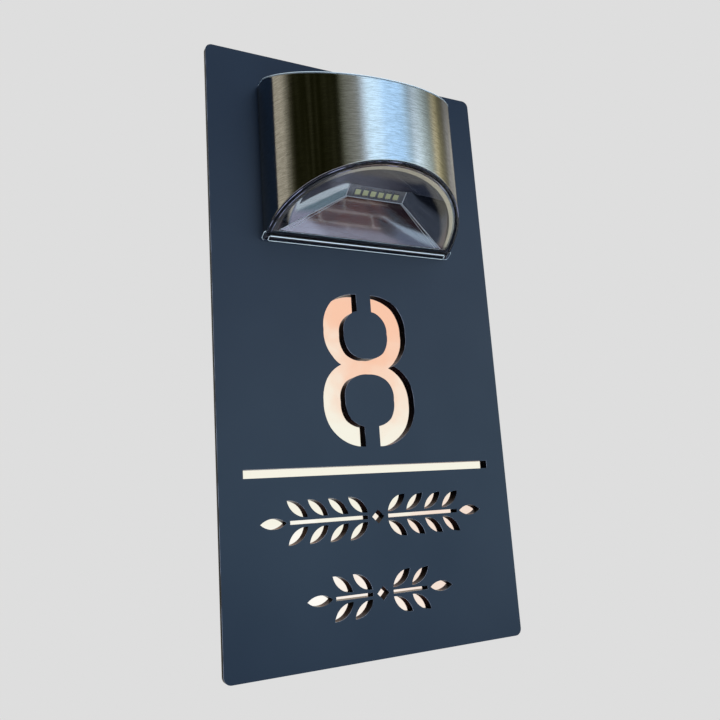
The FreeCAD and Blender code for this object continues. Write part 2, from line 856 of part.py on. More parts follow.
def facet_frame(grow):
    """Corners of the reflector's window and of the edge where its facets start, grown outwards."""

    def on_window(x, depth):
        rise = number("dims.window_slope") * (depth - number("dims.window_back"))
        return Vector(x, -depth, number("dims.window_level") + rise)

    def on_base(x, depth):
        return Vector(x, -depth, number("dims.facet_base") + number("dims.facet_slope") * depth)

    half = number("dims.window_half") + grow
    back, front = number("dims.window_back") - grow, number("dims.window_front") + grow
    window = [on_window(-half, back), on_window(half, back), on_window(half, front), on_window(-half, front)]
    facet_back = number("dims.facet_back") - grow
    base = {
        "corner": on_base(47.4 + grow, facet_back),
        "side": on_base(45.4 + grow, 16.5),
        "shoulder": on_base(36.4 + grow, 29.5),
        "apex": on_base(0, 43.1 + grow),
    }
    return window, base


def flipped(point):
    return Vector(-point.x, point.y, point.z)


def facet_solid(grow):
    """Ruled solid from the lamp's D to the window: flat back facet, three ruled ones round the front."""
    window, base = facet_frame(grow)
    corner, side, shoulder, apex = (base[key] for key in ("corner", "side", "shoulder", "apex"))
    lower = Part.Wire(
        [
            Part.LineSegment(flipped(corner), corner).toShape(),
            Part.Arc(corner, side, shoulder).toShape(),
            Part.Arc(shoulder, apex, flipped(shoulder)).toShape(),
            Part.Arc(flipped(shoulder), flipped(side), flipped(corner)).toShape(),
        ]
    )
    upper = Part.makePolygon(window + [window[0]])
    return Part.makeLoft([lower, upper], True, True)


def make_reflector():
    """Metallised tray: the ruled pocket, its wall all round, and a broad-footed skirt that stands on the lens."""
    wall = number("dims.reflector_wall")
    facet_plane = "dims.facet_base + dims.facet_slope"
    skirt_back = f"{CAVITY_BACK} + 0.2"
    mouth_back = "dims.facet_back - 0.4"
    plan = lamp_prism("skirt_plan", "dims.skirt_half", "dims.skirt_depth")
    layer = side_prism(
        "skirt_layer",
        [
            (skirt_back, low_line(skirt_back, "dims.lens_thick")),
            (OUTSIDE, low_line(OUTSIDE, "dims.lens_thick")),
            (OUTSIDE, f"{facet_plane} * {OUTSIDE} + dims.reflector_wall"),
            (skirt_back, f"{facet_plane} * ({skirt_back}) + dims.reflector_wall"),
        ],
    )
    skirt = common("skirt_block", plan, layer)
    mouth = side_prism(
        "skirt_mouth_layer",
        [
            (mouth_back, low_line(mouth_back, "-5")),
            (OUTSIDE, low_line(OUTSIDE, "-5")),
            (OUTSIDE, f"{facet_plane} * {OUTSIDE}"),
            (mouth_back, f"{facet_plane} * ({mouth_back})"),
        ],
    )
    mouth_plan = lamp_prism("mouth_plan", "dims.mouth_half", "dims.mouth_depth")
    opening = common("skirt_mouth", mouth_plan, mouth)
    outer = doc.addObject("Part::Feature", "facets_outside")
    outer.Shape = facet_solid(wall)
    inner = doc.addObject("Part::Feature", "facets_inside")
    inner.Shape = facet_solid(0)
    blank = fuse("reflector_blank", [skirt, outer])
    keep_on_lamp(cut("reflector_tray", blank, [opening, inner]), "reflector")


# ---------------------------------------------------------------- light engine


def on_window_plane(item, x, along, above):
    """Stands a piece on the window's slanting plane, measured from the window's middle."""
    slope = math.atan(number("dims.window_slope"))
    middle = (number("dims.window_back") + number("dims.window_front")) / 2
    rise = number("dims.window_slope") * (middle - number("dims.window_back"))
    centre = Vector(0, -middle, number("dims.window_level") + rise)
    turn = Rotation(Vector(1, 0, 0), -math.degrees(slope))
    base = centre + turn.multVec(Vector(x, along, above))
    offset = Vector(0, -number(FACE), number(LAMP_Z))
    item.Placement = Placement(base + offset, turn)


def make_light_engine():
    board = doc.addObject("Part::Box", "engine_board")
    board.Length, board.Width, board.Height = 38, 11, 1.2
    on_window_plane(board, -19, -5.5, 0)
    keep(board, "led_board")

    chips = []
    for i in range(6):
        chip = doc.addObject("Part::Box", "engine_chip")
        chip.Length, chip.Width, chip.Height = 3.5, 3.5, 0.7
        on_window_plane(chip, (i - 2.5) * number("dims.led_pitch") - 1.75, -1.75, -0.7)
        chips.append(chip)
    keep(group("engine_chips", chips), "led_chips")


# ---------------------------------------------------------------- rear cover


def keyhole_tools(name, x):
    """Narrow slot above, round hole below, and the closed pocket's space behind them."""
    hang = "dims.slot_radius - dims.shoulder_radius - dims.hang_fit"
    top, low = f"dims.keyhole_z - ({hang})", "dims.keyhole_z - dims.keyhole_drop"
    depth = "dims.lamp_gap + dims.rear_cover_thick"
    slot_top = rod(f"{name}_slot_top", "dims.slot_radius", "5", x, f"-({depth})", top)
    slot = box(
        f"{name}_slot",
        (f"({x}) - dims.slot_radius", f"({x}) + dims.slot_radius"),
        (f"-({depth})", "1"),
        (low, top),
    )
    hole = rod(f"{name}_hole", "dims.keyhole_radius", "5", x, f"-({depth})", low)
    space = box(
        f"{name}_space",
        (f"({x}) - 4.4", f"({x}) + 4.4"),
        (f"-({depth}) - 3.4", f"-({depth})"),
        (f"{low} - 4.5", f"{top} + 4.5"),
    )
    return [slot_top, slot, hole, space]


def keyhole_pocket(name, x):
    depth = "dims.lamp_gap + dims.rear_cover_thick"
    return box(
        name,
        (f"({x}) - 5.6", f"({x}) + 5.6"),
        (f"-({depth}) - 4.6", f"-({depth}) + 0.5"),
        ("dims.keyhole_z - dims.keyhole_drop - 5.7", "dims.keyhole_z + 5.7"),
    )


def make_rear_cover():
    front = "dims.lamp_gap + dims.rear_cover_thick"
    sheet = box(
        "cover_sheet",
        (f"-{HOUSING_HALF}", HOUSING_HALF),
        (f"-({front})", "-dims.lamp_gap"),
        (low_line(front, "dims.lens_flange"), "dims.lamp_rise - dims.cover_flange"),
    )
    pockets = both_sides(keyhole_pocket, "keyhole_pocket", "dims.keyhole_x")
    posts = both_sides(
        lambda name, x: rod(name, "2.5", f"dims.board_back - ({front})", x, "-dims.board_back", "dims.board_level"),
        "board_post",
        "dims.board_post_x",
    )
    tools = []
    for side, x in (("left", "-dims.keyhole_x"), ("right", "dims.keyhole_x")):
        tools += keyhole_tools(f"keyhole_{side}", x)
    tools += both_sides(
        lambda name, x: rod(name, "0.8", "5", x, "-dims.board_back - 1", "dims.board_level"),
        "post_pilot",
        "dims.board_post_x",
    )
    for side, level in REAR_SCREWS:
        tools.append(rod("rear_hole", "1.4", "5", side, f"-({front}) - 1", level))
        tools.append(rod("rear_counterbore", "2.8", "3", side, "-dims.lamp_gap - 1.2", level))
    tools.append(
        box(
            "switch_window",
            ("-2.6", "2.6"),
            (f"-({front}) - 1", "1"),
            ("dims.board_level - 1.3", "dims.board_level + 1.3"),
        )
    )
    keep_on_lamp(cut("cover_back", fuse("cover_back_blank", [sheet] + pockets + posts), tools), "rear_cover")


def make_rear_gasket():
    back = "dims.lamp_gap + dims.rear_cover_thick"
    low = low_line(HOUSING_BACK, "dims.lens_flange")
    outer = box(
        "gasket_outer",
        (f"-{HOUSING_HALF}", HOUSING_HALF),
        (f"-{HOUSING_BACK}", f"-({back})"),
        (low, "dims.lamp_rise - dims.cover_flange"),
    )
    inner = box("gasket_inner", ("-40", "40"), ("-10", "0"), ("24", "dims.lamp_rise - 9"))
    holes = [rod("gasket_hole", "1.5", "4", side, f"-{HOUSING_BACK} - 1", level) for side, level in REAR_SCREWS]
    keep_on_lamp(cut("gasket", outer, [inner] + holes), "rear_gasket")


def small_screw(name, x, z, head_back, head_front, tip, head_radius, radius):
    """Pan-head screw along Y; the three distances are in front of the plate, tip furthest."""
    head = rod(f"{name}_head", head_radius, f"({head_front}) - ({head_back})", x, f"-({head_front})", z)
    shank = rod(f"{name}_shank", radius, f"({tip}) - ({head_front})", x, f"-({tip})", z)
    slot = box(
        f"{name}_cross",
        (f"({x}) - 1.6", f"({x}) + 1.6"),
        (f"-({head_back}) - 0.5", f"-({head_back}) + 1"),
        (f"({z}) - 0.3", f"({z}) + 0.3"),
    )
    return cut(name, fuse(f"{name}_body", [head, shank]), [slot])


def make_rear_screws():
    screws = [
        small_screw("rear_screw", side, level, "dims.lamp_gap + 0.1", "dims.lamp_gap + 1.2", "10.5", "2.6", "0.9")
        for side, level in REAR_SCREWS
    ]
    keep_on_lamp(group("rear_screw_set", screws), "rear_screws")


# ---------------------------------------------------------------- battery and board


def make_battery():
    end = "dims.battery_length / 2"
    can = rod(
        "battery_can", "dims.battery_radius", "dims.battery_length - 1",
        f"-({end})", "-dims.battery_depth", "dims.battery_level", ALONG_X,
    )
    button = rod(
        "battery_button", "2.7", "1.5", f"{end} - 1.5", "-dims.battery_depth", "dims.battery_level", ALONG_X
    )
    keep_on_lamp(fuse("battery_cell", [can, button]), "battery")


def make_battery_holder():
    z = "dims.battery_level"
    block = box("cradle_block", ("-29", "29"), ("-dims.cradle_front", "-10.5"), (f"{z} - 8.6", f"{z} + 8.6"))
    ears = box("cradle_ears", ("-39", "39"), ("-dims.cradle_front", "-21.8"), (f"{z} - 5", f"{z} + 5"))
    trough = rod(
        "cradle_trough", "dims.battery_radius + 0.2", "54.4", "-27.2", "-dims.battery_depth", z, ALONG_X
    )
    mouth = box(
        "cradle_mouth",
        ("-27.2", "27.2"),
        ("-dims.battery_depth", "0"),
        (f"{z} - dims.battery_radius - 0.2", f"{z} + dims.battery_radius + 0.2"),
    )
    holes = both_sides(
        lambda name, x: rod(name, "1.4", "6", x, "-dims.cradle_front - 1", z), "cradle_hole", "dims.cradle_ear_x"
    )
    keep_on_lamp(cut("cradle", fuse("cradle_blank", [block, ears]), [trough, mouth] + holes), "battery_holder")


def make_holder_screws():
    screws = both_sides(
        lambda name, x: small_screw(name, x, "dims.battery_level", "20.2", "21.8", "30", "2.4", "0.9"),
        "holder_screw",
        "dims.cradle_ear_x",
    )
    keep_on_lamp(group("holder_screw_set", screws), "holder_screws")


def make_battery_contacts():
    z = "dims.battery_level"
    plate_back = "dims.battery_depth - 5"
    plate_front = "dims.battery_depth + 5"
    positive = box("contact_plate", ("26.8", "27.2"), (f"-({plate_front})", f"-({plate_back})"), (f"{z} - 4.5", f"{z} + 4.5"))
    bump = rod("contact_bump", "2.2", "1.8", "25", "-dims.battery_depth", z, ALONG_X)
    keep_on_lamp(fuse("contact", [positive, bump]), "battery_contact")

    negative = box("spring_plate", ("-27.2", "-26.8"), (f"-({plate_front})", f"-({plate_back})"), (f"{z} - 4.5", f"{z} + 4.5"))
    coil = doc.addObject("Part::Cone", "spring_cone")
    coil.Placement = Placement(Vector(0, 0, 0), ALONG_X)
    bind(coil, "Radius1", "4")
    bind(coil, "Radius2", "2.6")
    bind(coil, "Height", "1.8")
    place(coil, "-26.8", "-dims.battery_depth", z)
    keep_on_lamp(fuse("spring", [negative, coil]), "battery_spring")


def make_control_board():
    front = "dims.board_back + dims.board_thick"
    z = "dims.board_level"
    board = box("board_sheet", ("-22", "22"), (f"-({front})", "-dims.board_back"), (f"{z} - 8.5", f"{z} + 8.5"))
    holes = both_sides(
        lambda name, x: rod(name, "1.1", "5", x, f"-({front}) - 1", z), "board_hole", "dims.board_post_x"
    )
    keep_on_lamp(cut("board", board, holes), "control_board")

    def board_screw(name, x):
        head = rod(f"{name}_head", "1.9", "1.3", x, f"-({front}) - 1.3", z)
        shank = rod(f"{name}_shank", "0.8", f"{front} - 3", x, f"-({front})", z)
        return fuse(name, [head, shank])

    screws = both_sides(board_screw, "board_screw", "dims.board_post_x")
    keep_on_lamp(group("board_screw_set", screws), "board_screws")

    chip = box("chip_block", ("-11", "-6"), (f"-({front}) - 1.6", f"-({front})"), (f"{z} - 2", f"{z} + 2"))
    keep_on_lamp(group("chip", [chip]), "control_chip")
    coil = rod("inductor_can", "3", "5", "7", f"-({front}) - 5", f"{z} + 1")
    keep_on_lamp(group("inductor", [coil]), "board_inductor")


def make_switch():
    z = "dims.board_level"
    block = box("switch_block", ("-4.6", "4.6"), ("-dims.board_back", "-2.6"), (f"{z} - 2.3", f"{z} + 2.3"))
    chamber = box("switch_chamber", ("-3.1", "3.1"), ("-4.8", "-2.9"), (f"{z} - 1.4", f"{z} + 1.4"))
    mouth = box("switch_mouth", ("-2.3", "2.3"), ("-4", "-2"), (f"{z} - 1.1", f"{z} + 1.1"))
    keep_on_lamp(cut("switch_case", block, [chamber, mouth]), "switch_body")

    rest = "-dims.switch_travel / 2"
    shoe = box("switch_shoe", (f"{rest} - 1.6", f"{rest} + 1.6"), ("-4.5", "-3.1"), (f"{z} - 1.2", f"{z} + 1.2"))
    stem = box("switch_stem", (f"{rest} - 0.8", f"{rest} + 0.8"), ("-3.5", "-0.8"), (f"{z} - 0.8", f"{z} + 0.8"))
    keep_on_lamp(fuse("switch_knob", [shoe, stem]), "switch_slider")


# ---------------------------------------------------------------- wires

LEAD_RADIUS = 0.5
LEAD_BEND = 1.6


def lead_shape(points):
    """Round wire along straight runs, joined by tangent arcs of one bend radius."""
    points = [Vector(x, -depth, z) for x, depth, z in points]
    edges = []
    start = points[0]
    for before, corner, after in zip(points, points[1:], points[2:]):
        into = (corner - before).normalize()
        out = (after - corner).normalize()
        turn = into.getAngle(out)
        reach = LEAD_BEND * math.tan(turn / 2)
        bend_start = corner - into * reach
        bend_end = corner + out * reach
        inward = (out - into).normalize()
        middle = corner + inward * (LEAD_BEND / math.cos(turn / 2) - LEAD_BEND)
        edges.append(Part.LineSegment(start, bend_start).toShape())
        edges.append(Part.Arc(bend_start, middle, bend_end).toShape())
        start = bend_end
    edges.append(Part.LineSegment(start, points[-1]).toShape())
    path = Part.Wire(edges)
    direction = (points[1] - points[0]).normalize()
    profile = Part.Wire(Part.makeCircle(LEAD_RADIUS, points[0], direction))
    solid = path.makePipeShell([profile], True, False)
    expected = math.pi * LEAD_RADIUS**2 * path.Length
    if abs(solid.Volume - expected) > 0.02 * expected:
        raise RuntimeError("a lead's volume isn't its section times its length")
    return solid


def make_leads():
    """Pairs of wires, left and right, each given as points (across, depth in front of the plate, height)."""
    board = number("dims.board_back + dims.board_thick")
    solder_low = number("dims.board_level") - 6.5
    solder_high = number("dims.board_level") + 6.5
    engine = (number("dims.window_back") + number("dims.window_front")) / 2
    slope = number("dims.window_slope")
    engine_top = (
        number("dims.window_level")
        + slope * (engine - number("dims.window_back") + LEAD_RADIUS)
        + 1.2 * math.sqrt(1 + slope**2)
    )
    contact = number("dims.battery_depth") - 5
    contact_level = number("dims.battery_level") + 3
    cell = 20
    cell_under = (
        number("dims.lamp_rise - dims.cover_thick - dims.cell_thick")
        - number("dims.top_slope") * (cell + LEAD_RADIUS - number("dims.top_flat"))
    )
    routes = {
        "led_leads": [
            (19, board, solder_low), (19, 13, solder_low), (33, 13, 55.5),
            (33, 13, 34), (17, engine, 34), (17, engine, engine_top),
        ],
        "battery_leads": [
            (27, contact, contact_level), (27, 8.4, contact_level), (27, 8.4, 58), (20, 12, 70), (20, board, 70),
        ],
        "panel_leads": [
            (1, cell, cell_under), (1, cell, 72), (3.5, 12, solder_high), (3.5, board, solder_high),
        ],
    }
    for label, route in routes.items():
        pair = [[(side * x, depth, z) for x, depth, z in route] for side in (1, -1)]
        wires = doc.addObject("Part::Feature", label)
        wires.Shape = Part.makeCompound([lead_shape(points) for points in pair])
        keep_on_lamp(wires, label)


# ---------------------------------------------------------------- build, check and write


def main():
    make_front_plate()
    make_mirror_plate()
    make_locators()
    make_lamp_fixings()
    make_lamp_shell()
    make_lamp_housing()
    make_top_cover()
    make_solar_cell()
    make_lens()
    make_reflector()
    make_light_engine()
    make_rear_cover()
    make_rear_gasket()
    make_rear_screws()
    make_battery()
    make_battery_holder()
    make_holder_screws()
    make_battery_contacts()
    make_control_board()
    make_switch()
    make_leads()
    doc.recompute()

    for item in doc.Objects:
        if "Invalid" in item.State or "Error" in item.State:
            raise RuntimeError(f"{item.Label} failed: {item.State}")
    os.makedirs("parts", exist_ok=True)
    for label, item in parts.items():
        shape = item.Shape
        if shape.isNull() or not shape.isValid() or not shape.Solids:
            raise RuntimeError(f"{label} has no valid solid")
        shape.exportStep(f"parts/{label}.step")
        print(f"{label}: {len(shape.Solids)} solid(s), {shape.Volume:.1f} mm3")


main()
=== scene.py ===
import math

import bmesh
import bpy
from mathutils import Matrix, Vector


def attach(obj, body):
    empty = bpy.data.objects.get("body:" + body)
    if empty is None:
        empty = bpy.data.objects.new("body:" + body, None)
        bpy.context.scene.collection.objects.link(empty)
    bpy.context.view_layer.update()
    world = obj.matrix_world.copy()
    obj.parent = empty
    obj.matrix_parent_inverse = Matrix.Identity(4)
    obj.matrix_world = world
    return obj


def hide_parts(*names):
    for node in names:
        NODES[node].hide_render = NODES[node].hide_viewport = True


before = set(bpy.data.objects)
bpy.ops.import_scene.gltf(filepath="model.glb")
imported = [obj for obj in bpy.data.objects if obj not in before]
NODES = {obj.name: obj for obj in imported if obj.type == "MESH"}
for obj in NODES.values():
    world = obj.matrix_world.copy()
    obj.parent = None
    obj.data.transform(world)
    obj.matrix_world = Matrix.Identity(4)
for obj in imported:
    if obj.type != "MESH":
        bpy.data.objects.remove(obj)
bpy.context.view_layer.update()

SCENE = bpy.context.scene

# Sizes are in millimetres unless a comment says otherwise; MM turns them into the frame's metres.
MM = 0.001
FACE = 16.0        # the front plate's face, in front of the wall
LAMP = 50.1        # the lamp's lowest level above the origin
HALF = 53.5        # half of the lamp's width
DEPTH = 49.0       # how far the lamp stands out from the plate
STRAIGHT = 4.0     # straight sides of the lamp's plan, before its half ellipse
LENS_SLOPE = 0.56
TOP_LEVEL = 84.0
TOP_FLAT = 8.0     # the top is level up to this depth
TOP_SLOPE = 0.33
QUARTER = math.pi / 2


def on_lamp(x, depth, level):
    """A point of the lamp: across, in front of the plate's face, above the lamp's lowest level."""
    return Vector((x, -(FACE + depth), LAMP + level)) * MM


def lens_level(rise):
    return lambda depth: rise + LENS_SLOPE * depth


def top_level(drop):
    return lambda depth: TOP_LEVEL - drop - TOP_SLOPE * max(0.0, depth - TOP_FLAT)


# ---- colours and node helpers


def shade(red, green, blue):
    """A colour given as 0 to 255 values, as the linear colour that shaders take."""

    def linear(value):
        value /= 255.0
        return value / 12.92 if value <= 0.04045 else ((value + 0.055) / 1.055) ** 2.4

    return (linear(red), linear(green), linear(blue), 1.0)


def bright(level, red=1.0, green=1.0, blue=1.0):
    """A linear colour from its level and its tint."""
    return (level * red, level * green, level * blue, 1.0)


BLACK = bright(0.0)
PAPER = shade(222, 222, 222)


def set_inputs(node, inputs):
    """Sets a node's inputs by name or number, or links them where the value is another node's output."""
    for key, value in inputs.items():
        if isinstance(value, bpy.types.NodeSocket):
            node.id_data.links.new(value, node.inputs[key])
        else:
            node.inputs[key].default_value = value


def add_node(tree, kind, inputs=None, **settings):
    """Adds a node, sets its properties, and sets or links its inputs."""
    node = tree.nodes.new(kind)
    for name, value in settings.items():
        setattr(node, name, value)
    set_inputs(node, inputs or {})
    return node


def tree_of(*values):
    """The node tree of the first value that is an output of one of its nodes."""
    return next(value.id_data for value in values if isinstance(value, bpy.types.NodeSocket))


def math_node(operation, *values, clamp=False):
    inputs = dict(enumerate(values))
    node = add_node(tree_of(*values), "ShaderNodeMath", inputs, operation=operation, use_clamp=clamp)
    return node.outputs[0]


def chain(operation, values):
    """One operation on two or more values, from left to right."""
    result = values[0]
    for value in values[1:]:
        result = math_node(operation, result, value)
    return result


def times(*values):
    return chain("MULTIPLY", values)


def plus(*values):
    return chain("ADD", values)


def minus(first, second):
    return math_node("SUBTRACT", first, second)


def largest(*values):
    return chain("MAXIMUM", values)


def span(value, low, high, to_low=0.0, to_high=1.0, shape="LINEAR"):
    """Maps low to high onto to_low to to_high, and holds the ends beyond them."""
    inputs = {"Value": value, "From Min": low, "From Max": high, "To Min": to_low, "To Max": to_high}
    return add_node(value.id_data, "ShaderNodeMapRange", inputs, interpolation_type=shape).outputs[0]


def band(value, low, high):
    """Smooth step from 0 at low to 1 at high; low may be the larger one."""
    return span(value, low, high, shape="SMOOTHSTEP")


def strip(value, start, full, painted_shade_fade, end):
    """Smooth step up from start to full, and down again from fading to end."""
    return times(band(value, start, full), band(value, end, painted_shade_fade))


def repeated_lines(value, half_pitch, half_width):
    """1 on lines that repeat along a value, and 0 between them."""
    return math_node("LESS_THAN", math_node("PINGPONG", value, half_pitch), half_width)


def noise(place, scale, detail=3.0, rough=0.55):
    inputs = {"Vector": place, "Scale": scale, "Detail": detail, "Roughness": rough}
    return add_node(place.id_data, "ShaderNodeTexNoise", inputs).outputs["Fac"]


def stretched(place, scale):
    """Coordinates times a vector."""
    inputs = {0: place, 1: scale}
    return add_node(place.id_data, "ShaderNodeVectorMath", inputs, operation="MULTIPLY").outputs[0]


def object_place(tree):
    return add_node(tree, "ShaderNodeTexCoord").outputs["Object"]


def surface_normal(tree):
    return add_node(tree, "ShaderNodeNewGeometry").outputs["Normal"]


def axes_of(vector):
    """A vector's X, Y and Z outputs."""
    return add_node(vector.id_data, "ShaderNodeSeparateXYZ", {0: vector}).outputs


def mix(factor, first, second, blend="MIX"):
    inputs = {0: factor, 6: first, 7: second}    # 6 and 7 are the node's two colours
    tree = tree_of(factor, first, second)
    return add_node(tree, "ShaderNodeMix", inputs, data_type="RGBA", blend_type=blend).outputs[2]


def azimuth_ramp(factor, stops):
    """Colour ramp all round from (degrees right of straight ahead of the sign, level and tint for bright)."""
    node = add_node(factor.id_data, "ShaderNodeValToRGB", {"Fac": factor})
    elements = node.color_ramp.elements
    while len(elements) < len(stops):
        elements.new(1.0)
    for element, (degrees, *color) in zip(elements, stops):
        element.position = (degrees + 180.0) / 360.0
        element.color = bright(*color)
    return node.outputs["Color"]


# ---- shared shader groups

SOCKET_KINDS = {"Color": "NodeSocketColor", "Stretch": "NodeSocketVector"}    # the others are floats


def new_group(name, inputs, outputs):
    """Shader node group with the named inputs and outputs."""
    group = bpy.data.node_groups.new(name, "ShaderNodeTree")
    for direction, labels in (("INPUT", inputs), ("OUTPUT", outputs)):
        for label in labels:
            kind = SOCKET_KINDS.get(label, "NodeSocketFloat")
            group.interface.new_socket(label, in_out=direction, socket_type=kind)
    return group, group.nodes.new("NodeGroupInput").outputs, group.nodes.new("NodeGroupOutput")


def make_moulding_group():
    """Fine grain and slow unevenness of moulded or cast plastic."""
    group, given, result = new_group(
        "moulding_grain",
        ["Color", "Variation", "Grain Scale", "Roughness", "Roughness Spread"],
        ["Color", "Roughness", "Height"],
    )
    place = object_place(group)
    slow = minus(noise(place, 38.0, 4.0), 0.5)
    value = plus(1.0, times(slow, given["Variation"], 2.0))
    tinted = add_node(group, "ShaderNodeHueSaturation", {"Color": given["Color"], "Value": value})
    rough = plus(given["Roughness"], times(slow, given["Roughness Spread"], 2.0))
    fine = noise(place, given["Grain Scale"], 2.0)
    set_inputs(result, {"Color": tinted.outputs[0], "Roughness": rough, "Height": fine})
    return group


def make_dust_group():
    """Pale dust that settles on what faces up, and a few specks anywhere."""
    group, given, result = new_group("settled_dust", ["Color", "Dust", "Specks"], ["Color"])
    place = object_place(group)
    upward = span(axes_of(surface_normal(group))["Z"], 0.35, 1.0)
    lying = times(upward, noise(place, 220.0, 6.0, 0.7), given["Dust"])
    cells = add_node(group, "ShaderNodeTexVoronoi", {"Vector": place, "Scale": 330.0, "Randomness": 1.0})
    dots = span(cells.outputs["Distance"], 0.05, 0.02)
    rare = span(noise(place, 47.0, 2.0), 0.6, 0.72)
    specks = times(dots, rare, given["Specks"])
    mask = math_node("MAXIMUM", lying, specks, clamp=True)
    set_inputs(result, {"Color": mix(mask, given["Color"], shade(176, 170, 158))})
    return group


def make_brushing_group():
    """Fine scratches of brushed metal: noise drawn out along the brushing direction by Stretch."""
    group, given, result = new_group(
        "brushing", ["Stretch", "Roughness", "Spread"], ["Height", "Roughness", "Streaks"]
    )
    place = stretched(object_place(group), given["Stretch"])
    fine = noise(place, 30.0, 4.0, 0.7)
    broad = noise(place, 7.0, 3.0, 0.6)
    rough = plus(given["Roughness"], times(minus(broad, 0.5), given["Spread"]))
    height = plus(times(fine, 0.7), times(broad, 0.3))
    set_inputs(result, {"Height": height, "Roughness": rough, "Streaks": fine})
    return group


MOULDING = make_moulding_group()
DUST = make_dust_group()
BRUSHING = make_brushing_group()


def use_group(tree, group, **values):
    """Places a shared group; its inputs are named with underscores for spaces."""
    node = tree.nodes.new("ShaderNodeGroup")
    node.node_tree = group
    set_inputs(node, {name.replace("_", " "): value for name, value in values.items()})
    return node.outputs


def moulded(tree, color, rough, variation, grain, spread):
    """Places the moulding group; spread is its unevenness of roughness."""
    values = {"Color": color, "Variation": variation, "Grain_Scale": grain, "Roughness": rough}
    return use_group(tree, MOULDING, Roughness_Spread=spread, **values)


# ---- materials


def new_material(name):
    material = bpy.data.materials.new(name)
    material.use_nodes = True
    tree = material.node_tree
    return material, tree, tree.nodes["Principled BSDF"]


def set_bump(shader, height, strength, distance):
    """Bumps the surface by a height of 0 to 1, which stands for a distance in metres."""
    inputs = {"Height": height, "Strength": strength, "Distance": distance}
    set_inputs(shader, {"Normal": add_node(shader.id_data, "ShaderNodeBump", inputs).outputs[0]})


def blend_shaders(factor, first, second):
    """Sends a blend of two shaders to the material's output."""
    tree = factor.id_data
    either = add_node(tree, "ShaderNodeMixShader", {0: factor, 1: first.outputs[0], 2: second.outputs[0]})
    set_inputs(tree.nodes["Material Output"], {"Surface": either.outputs[0]})


def plastic(name, color, rough, grain=1800.0, depth=0.00002):
    """Moulded plastic with grain, slow unevenness and a little dust; depth is its grain's, in metres."""
    material, tree, shader = new_material(name)
    surface = moulded(tree, color, rough, variation=0.12, grain=grain, spread=0.12)
    dusty = use_group(tree, DUST, Color=surface["Color"], Dust=0.15, Specks=0.0)
    set_inputs(shader, {"Base Color": dusty["Color"], "Roughness": surface["Roughness"]})
    set_bump(shader, surface["Height"], 0.35, depth)
    return material


def metal(name, color, rough, stretch, bump):
    """Metal brushed or turned along the axis where stretch is smallest."""
    material, tree, shader = new_material(name)
    lines = use_group(tree, BRUSHING, Stretch=stretch, Roughness=rough, Spread=0.12)
    darker = bright(0.86, *color[:3])
    streaked = mix(lines["Streaks"], darker, color)
    set_inputs(shader, {"Base Color": streaked, "Roughness": lines["Roughness"], "Metallic": 1.0})
    set_bump(shader, lines["Height"], bump, 0.00001)
    return material


def slate_color(tree, sheet, upward, facing, edge):
    """The slate sheet's colour: cut walls in painted shade with a painted highlight line along the front,
    painted highlights on the arrises, dust.
    """
    place = object_place(tree)
    # Painted highlight: a pale line, broken by noise, along the front of the cut walls
    glints = band(noise(place, 75.0, 2.0), 0.38, 0.6)
    at_front = band(axes_of(place)["Y"], -(FACE - 0.45) * MM, -(FACE - 0.3) * MM)
    # The cut walls' near-black colour is painted shade; the pale line is mixed onto them
    walls = mix(times(at_front, glints, 0.75), shade(5, 7, 13), shade(168, 182, 208))
    colored = mix(edge, sheet, walls)
    # Painted highlight on the arrises, paler on those that face down
    arris_highlight = strip(facing, 0.3, 0.55, 0.85, 0.97)
    highlight_below = span(upward, 0.1, -0.3, 0.3, 0.9)
    highlighted = mix(times(arris_highlight, highlight_below), colored, shade(150, 162, 186))
    return use_group(tree, DUST, Color=highlighted, Dust=0.2, Specks=0.22)["Color"]


def slate_sheen(tree, edge):
    """Weight of the slate faces' cloudy satin coat; painted shade fades it away from a place low on the right
    (metres).
    """
    place = object_place(tree)
    clouds = plus(0.55, times(noise(place, 9.0), 0.5))
    ends = {0: stretched(place, (0.77, 0, 1)), 1: (0.038, 0, -0.03)}
    away = add_node(tree, "ShaderNodeVectorMath", ends, operation="DISTANCE").outputs["Value"]
    # Painted shade: the coat weakens away from a place low on the right
    painted_shade_fade = minus(1.0, times(band(away, 0.09, 0.19), 0.5))
    return math_node("MULTIPLY", minus(1.0, edge), times(clouds, painted_shade_fade), clamp=True)


def slate_acrylic():
    """Satin slate-blue sheet: cloudy sheen on its faces, faded by painted shade, glossy cut walls with fine
    laser lines.
    """
    material, tree, shader = new_material("slate_acrylic")
    surface = moulded(tree, shade(15, 28, 45), 0.42, variation=0.05, grain=2600.0, spread=0.06)
    normal = axes_of(surface_normal(tree))
    facing = math_node("ABSOLUTE", normal["Y"])
    edge = band(facing, 0.75, 0.25)
    cuts = noise(stretched(object_place(tree), (1, 0.02, 1)), 2400.0, 2.0)
    height = plus(times(cuts, edge), times(surface["Height"], 0.4))
    set_inputs(shader, {
        "Base Color": slate_color(tree, surface["Color"], normal["Z"], facing, edge),
        "Roughness": minus(surface["Roughness"], times(edge, 0.22)),
        "Specular IOR Level": 0.03,
        "Coat Weight": slate_sheen(tree, edge),
        "Coat Roughness": 0.4,
    })
    set_bump(shader, height, 0.3, 0.00002)
    return material


def rose_mirror():
    """Rose-gold mirror acrylic, a little wavy, with grey paint on its back."""
    material, tree, shader = new_material("rose_mirror")
    back = span(axes_of(surface_normal(tree))["Y"], -0.6, -0.4)
    paint = moulded(tree, shade(122, 122, 120), 0.55, variation=0.1, grain=900.0, spread=0.1)
    set_inputs(shader, {
        "Base Color": mix(back, shade(254, 203, 174), paint["Color"]),
        "Metallic": minus(1.0, back),
        "Roughness": plus(0.03, times(back, 0.5)),
    })
    set_bump(shader, noise(object_place(tree), 42.0, 2.0), 0.35, 0.0004)
    return material


